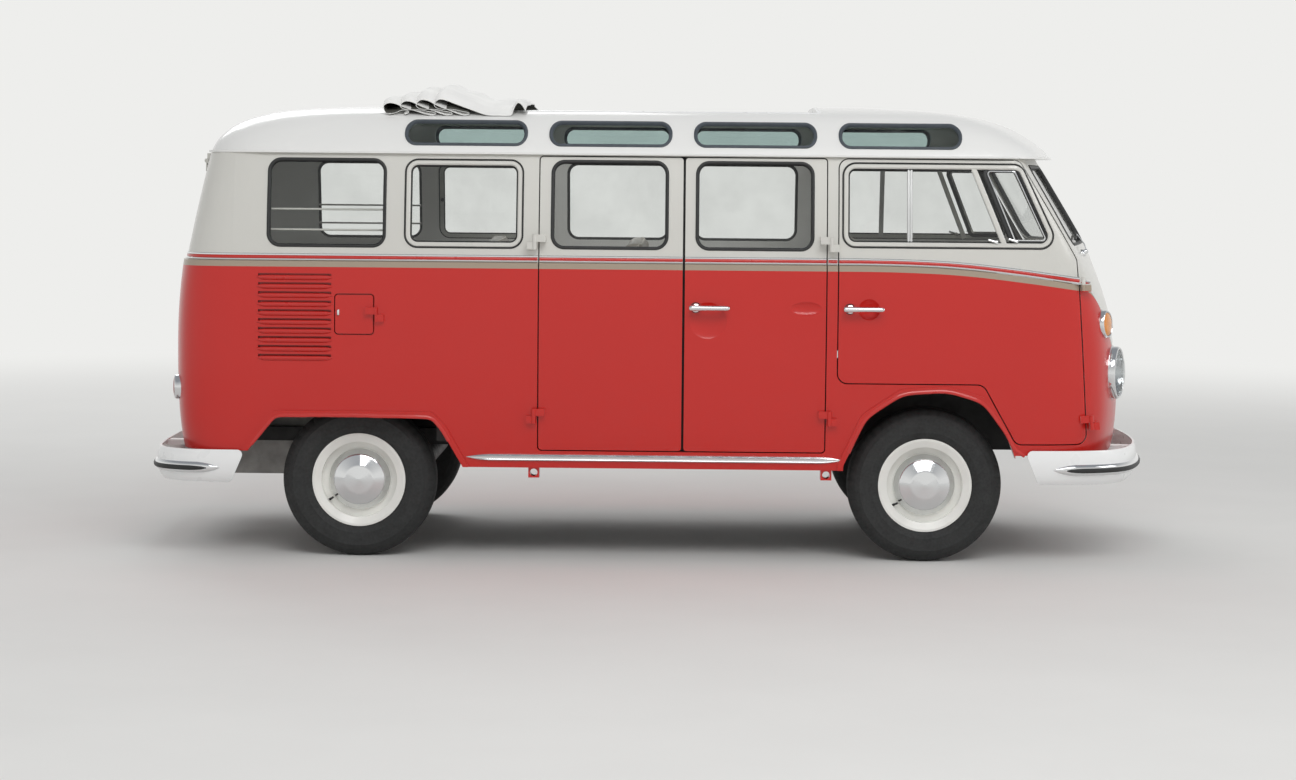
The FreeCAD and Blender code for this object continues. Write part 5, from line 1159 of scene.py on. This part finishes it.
# Folded canvas: one sheet laid in four folds, lower along its two edges than in the middle
canvas = {
    "half": 0.630, "across": 48, "step": 0.007, "thick": 0.0024, "lift": 0.004, "reach": 0.226, "slack": 0.86,
    "rears": (-1.152, -1.080, -1.013, -0.936), "fronts": (-0.928, -0.858, -0.787),
    "edgeTops": (0.052, 0.060, 0.066, 0.069), "middleTops": (0.036, 0.058, 0.080, 0.090),
    "firstLoop": [(0.16, 0.10), (0.05, 0.14), (0.00, 0.62), (0.03, 0.86), (0.11, 1.00)],
    "loop": [(0.16, 0.36), (0.05, 0.44), (0.00, 0.62), (0.03, 0.86), (0.11, 1.00)],
    "outgoing": [(0.24, 0.93), (0.42, 0.62), (0.62, 0.36), (0.82, 0.10), (0.94, 0.03), (1.00, 0.12)],
    "returning": [(0.05, 0.21), (0.30, 0.30), (0.62, 0.42)],
    "tuck": [(-1.062, 0.004), (-1.046, 0.010), (-1.050, 0.020), (-1.075, 0.019), (-1.100, 0.008),
             (-1.128, 0.005)],
    "top": [(-0.884, 0.064, 0.088), (-0.834, 0.046, 0.066), (-0.778, 0.026, 0.052), (-0.712, 0.004, 0.023),
            (-0.660, 0.002, 0.031), (-0.611, 0.003, 0.029), (-0.600, 0.026, 0.030), (-0.588, 0.050, 0.028),
            (-0.576, 0.057, 0.024), (-0.560, 0.046, 0.016), (-0.546, 0.022, 0.006)],
    "bridge": 0.556, "crown": 0.030, "roofAbove": 1.80,
    "sag": 2.6, "ripple": (0.004, 9, 30), "sway": (0.010, 2.2, 0.01),
}


def canvasProfile():
    # places along the sheet: from back to front, height at the edge and height in the middle
    run = [(x, height, height) for x, height in canvas["tuck"]]
    last = len(canvas["fronts"])
    for index, rear in enumerate(canvas["rears"]):
        edge, middle = canvas["edgeTops"][index], canvas["middleTops"][index]
        for along, share in canvas["loop" if index else "firstLoop"]:
            run.append((rear + canvas["reach"] * along, edge * share, middle * share))
        if index == last:
            break
        front = canvas["fronts"][index]
        for along, share in canvas["outgoing"]:
            run.append((rear + (front - rear) * along, edge * share, middle * share))
        following = canvas["rears"][index + 1] + canvas["reach"] * canvas["loop"][0][0]
        edge, middle = canvas["edgeTops"][index + 1], canvas["middleTops"][index + 1]
        for along, share in canvas["returning"]:
            share *= canvas["slack"]
            run.append((front + (following - front) * along, edge * share, middle * share))
    return run + canvas["top"]


def roofHeight(tree, x, y):
    # the roof under a place, bridged over its opening
    place, facing = landRoof(x, y, tree)
    if place is not None and place.z > canvas["roofAbove"]:
        return place.z
    place, facing = landRoof(x, canvas["bridge"] if y >= 0 else -canvas["bridge"], tree)
    return place.z + canvas["crown"] * (1 - (y / canvas["bridge"]) ** 2)


def layCanvas():
    spaced = evenRun(curved(canvasProfile(), 8), canvas["step"])
    roofTree = shellTree("roof_panel")
    half, across = canvas["half"], canvas["across"]
    (high, overWidth, overLength), (aside, overHalf, perRow) = canvas["ripple"], canvas["sway"]
    points, faces = [], []
    for row, place in enumerate(spaced):
        for share in between(-1, 1, across):
            middle = 1 - abs(share) ** canvas["sag"]
            wave = high * sin(share * overWidth + place.x * overLength) * middle
            x = place.x + aside * sin(share * overHalf + row * perRow) * middle + wave * 0.5
            y = share * half
            height = place.y + (place.z - place.y) * middle + abs(wave) * 0.5
            points.append(Vector((x, y, roofHeight(roofTree, x, y) + height + canvas["lift"])))
    for row in range(len(spaced) - 1):
        for column in range(across):
            first = row * (across + 1) + column
            faces.append((first, first + 1, first + across + 2, first + across + 1))
    cloth = newPiece("folded_canvas", points, faces)
    bpy.ops.object.mode_set(mode="EDIT")
    bpy.ops.mesh.select_all(action="SELECT")
    bpy.ops.mesh.normals_make_consistent(inside=False)
    bpy.ops.object.mode_set(mode="OBJECT")
    if cloth.data.polygons[len(cloth.data.polygons) - across * 20].normal.z < 0:
        cloth.data.flip_normals()
    for finish in ("canvas", "lining"):
        cloth.data.materials.append(finishes[finish])
    shape(cloth, "SOLIDIFY", thickness=canvas["thick"], offset=-1, material_offset=1)
    bpy.ops.object.shade_smooth_by_angle(angle=radians(60))
    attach(cloth, "van")
    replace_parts(cloth, "roof_canvas")


# Trim round the roof opening, and the runners that the canvas slides on
opening = {
    "corners": boxCorners((-1.150, 0.700), -0.550, 0.550), "corner": 0.020, "out": 0.004,
    "lip": mm((12, -3), (12, 0.8), (9, 2.8), (-3, 2.8), (-6.5, 1), (-6.5, -18), (-4.5, -18), (-4.5, -3)),
    "runner": (-1.10, 0.66), "runnerCount": 24, "runnerY": 0.538, "edgeY": 0.556, "runnerDrop": 0.012,
    "runnerRadius": 0.005,
}


def trimOpening():
    edging("roof_opening_lip", opening["corners"], opening["corner"], opening["lip"], opening["out"],
           landRoof,
           "van", "bumper")
    for sideName, side in sides:
        points = []
        for x in between(*opening["runner"], opening["runnerCount"]):
            place, facing = landRoof(x, side * opening["edgeY"])
            points.append((x, side * opening["runnerY"], place.z - opening["runnerDrop"]))
        settle(pipe(f"roof_runner_{sideName}", points, opening["runnerRadius"]), "van", "chrome")


addPulls()
addFittings()
addWipers()
layCanvas()
trimOpening()
print("handles, wipers, canvas and roof opening done")


# Seats: each cushion and back starts as its plain solid, swells as filled cloth, and is
# then sewn into pleats, with piping round its front edge
seats = {
    "nodes": ("front_seats", "middle_bench", "rear_bench"), "slack": 0.014, "voxel": 0.016,
    "roughVoxel": 0.03,
    "pressure": 3.6, "quality": 5, "cap": 0.022, "frames": 20, "fill": 0.7, "pleat": 0.062, "groove": 0.006,
    "grooveHalf": 0.012, "border": 0.060, "endBorder": 0.036, "pastBorder": 0.006, "fadeIn": 0.010,
    "faceFrom": 0.45, "piping": 0.0048, "pipeInset": 0.020,
    "pipeCorner": 0.045,
}


def extents(piece):
    places = [vertex.co for vertex in piece.data.vertices]
    return [Vector([limit(place[axis] for place in places) for axis in range(3)]) for limit in (min, max)]


def looseSolids(name):
    # the solids of a node, each as a merged piece of its own
    link(name + "_cushion", cad[name].data.copy())
    bpy.ops.object.mode_set(mode="EDIT")
    bpy.ops.mesh.select_all(action="SELECT")
    bpy.ops.mesh.remove_doubles(threshold=0.0001)
    bpy.ops.mesh.separate(type="LOOSE")
    bpy.ops.object.mode_set(mode="OBJECT")
    pieces = [other for other in bpy.context.selected_objects if other.type == "MESH"]
    return sorted(pieces, key=lambda other: [round(c, 3) for c in extents(other)[0]])


def swell(piece):
    # shrinks a solid, fills it as cloth and keeps it near its first shape
    low, high = extents(piece)
    middle, size = (low + high) / 2, high - low
    for vertex in piece.data.vertices:
        for axis in range(3):
            share = 1 - seats["slack"] / size[axis]
            vertex.co[axis] = middle[axis] + (vertex.co[axis] - middle[axis]) * share
    shape(piece, "REMESH", mode="VOXEL", voxel_size=seats["voxel"])
    shape(piece, "SMOOTH", factor=0.6, iterations=6)
    before = [vertex.co.copy() for vertex in piece.data.vertices]
    activate(piece)
    cloth = piece.modifiers.new("fill", "CLOTH")
    cloth.settings.use_pressure = True
    cloth.settings.uniform_pressure_force = seats["pressure"]
    cloth.settings.quality = seats["quality"]
    cloth.settings.effector_weights.gravity = 0
    cloth.collision_settings.use_collision = False
    for number in range(1, seats["frames"] + 1):
        bpy.context.scene.frame_set(number)
    bpy.ops.object.modifier_apply(modifier=cloth.name)
    bpy.context.scene.frame_set(1)
    for vertex, start in zip(piece.data.vertices, before):
        move = vertex.co - start
        if move.length > seats["cap"]:
            vertex.co = start + move.normalized() * seats["cap"]
    margin = seats["slack"] * 0.15
    for vertex in piece.data.vertices:
        for axis in range(3):
            vertex.co[axis] = min(max(vertex.co[axis], low[axis] + margin), high[axis] - margin)
    return low, high


def pleated(piece, low, high):
    # sewn channels on the face that is sat on or leant on
    back = high.z - low.z > high.x - low.x
    face, runAxis = (0, 2) if back else (2, 0)
    width = high.y - low.y - 2 * seats["border"]
    count = max(2, round(width / seats["pleat"]))
    pitch = width / count
    for vertex in piece.data.vertices:
        fromEdge = min(vertex.co[runAxis] - low[runAxis], high[runAxis] - vertex.co[runAxis])
        aside = vertex.co.y - low.y - seats["border"]
        past = seats["pastBorder"]
        inside = min(fromEdge - seats["endBorder"], aside + past, count * pitch - aside + past)
        if vertex.normal[face] >= seats["faceFrom"] and inside >= 0:
            phase = abs(aside / pitch - round(aside / pitch)) * pitch
            sink = max(0.0, 1 - phase / seats["grooveHalf"]) ** 1.4
            vertex.co[face] -= seats["groove"] * sink * min(1.0, inside / seats["fadeIn"])


def piped(piece, low, high, name):
    # a welt that follows the rim of the cushion's face
    back = high.z - low.z > high.x - low.x
    tree, inset = treeOf(piece.data), seats["pipeInset"]
    lowRun, highRun = (low.z, high.z) if back else (low.x, high.x)
    corners = boxCorners((low.y + inset, high.y - inset), lowRun + inset, highRun - inset)
    landed = []
    for y, run in roundedOutline(corners, seats["pipeCorner"], step=0.02):
        start = Vector((high.x + 0.1, y, run)) if back else Vector((run, y, high.z + 0.1))
        heading = Vector((-1, 0, 0)) if back else Vector((0, 0, -1))
        place, facing = meet(tree, start, heading)
        if place is None:
            place, facing, face, distance = tree.find_nearest(start + heading * 0.12)
        landed.append((place, facing))
    return strip(name, landed, ring(seats["piping"], 8), closed=True)


def addSeats():
    for node in seats["nodes"]:
        for index, piece in enumerate(looseSolids(node)):
            low, high = swell(piece)
            shape(piece, "SUBSURF", levels=1, render_levels=1)
            pleated(piece, low, high)
            piece.name = f"{node}_pad_{index}"
            welt = piped(piece, low, high, f"{node}_welt_{index}")
            settle(welt, "van", "welt", angle=60)
            settle(piece, "van", "seat", angle=80, recalculate=False)
            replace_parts(piece, node)
        print(node, "padded")


# Dashboard: a dial in a rim before the driver, a grille and small knobs
panel = {
    "from": 1.2, "dial": (0.385, 1.235), "knobs": [(0.20, 1.225), (0.12, 1.225), (-0.10, 1.225)],
    "rim": mm((52, 1), (54, 10), (59, 13), (63, 9), (65, -3)), "face": mm((0, 3), (55, 3), (55, -2)),
    "marks": range(-130, 131, 26), "markRadius": 0.044, "markOut": 0.0035, "markSize": (0.0016, 0.009, 0.001),
    "hand": (-0.014, 0.014, 0.006), "handSize": (0.0018, 0.046, 0.0012),
    "knob": mm((4, -2), (4, 12), (9, 14), (11, 20), (9, 26), (0, 28)),
    "grille": (0.0, 1.235), "bars": 7, "barPitch": 0.009, "barSize": (0.006, 0.11, 0.004), "barRound": 0.0012,
}


def addPanel():
    tree = shellTree("dashboard")

    def onPanel(y, z):
        return meet(tree, (panel["from"], y, z), (1, 0, 0))

    place, facing = onPanel(*panel["dial"])
    settle(lathe("dial_rim", panel["rim"], 64, place, facing), "van", "chrome")
    settle(lathe("dial_face", panel["face"], 64, place, facing), "van", "dial")
    pieces = []
    for degrees in panel["marks"]:
        turn = radians(degrees)
        centre = (sin(turn) * panel["markRadius"], cos(turn) * panel["markRadius"], panel["markOut"])
        pieces.append(block(centre, panel["markSize"], (0, 0, -turn)))
    pieces.append(block(panel["hand"], panel["handSize"], (0, 0, radians(45))))
    marks = turnTo(join("dial_marks", pieces), place, facing, radians(90))
    settle(marks, "van", "cream")
    for index, knob in enumerate(panel["knobs"]):
        settle(lathe(f"panel_knob_{index}", panel["knob"], 28, *onPanel(*knob)), "van", "steering")
    y, z = panel["grille"]
    bars = []
    for index in range(panel["bars"]):
        place, facing = onPanel(y, z + (index - (panel["bars"] - 1) / 2) * panel["barPitch"])
        bars.append(shape(block(place, panel["barSize"]), "BEVEL", width=panel["barRound"], segments=2))
    settle(join("panel_grille", bars), "van", "chrome")


addSeats()
addPanel()
print("seats and dashboard done")
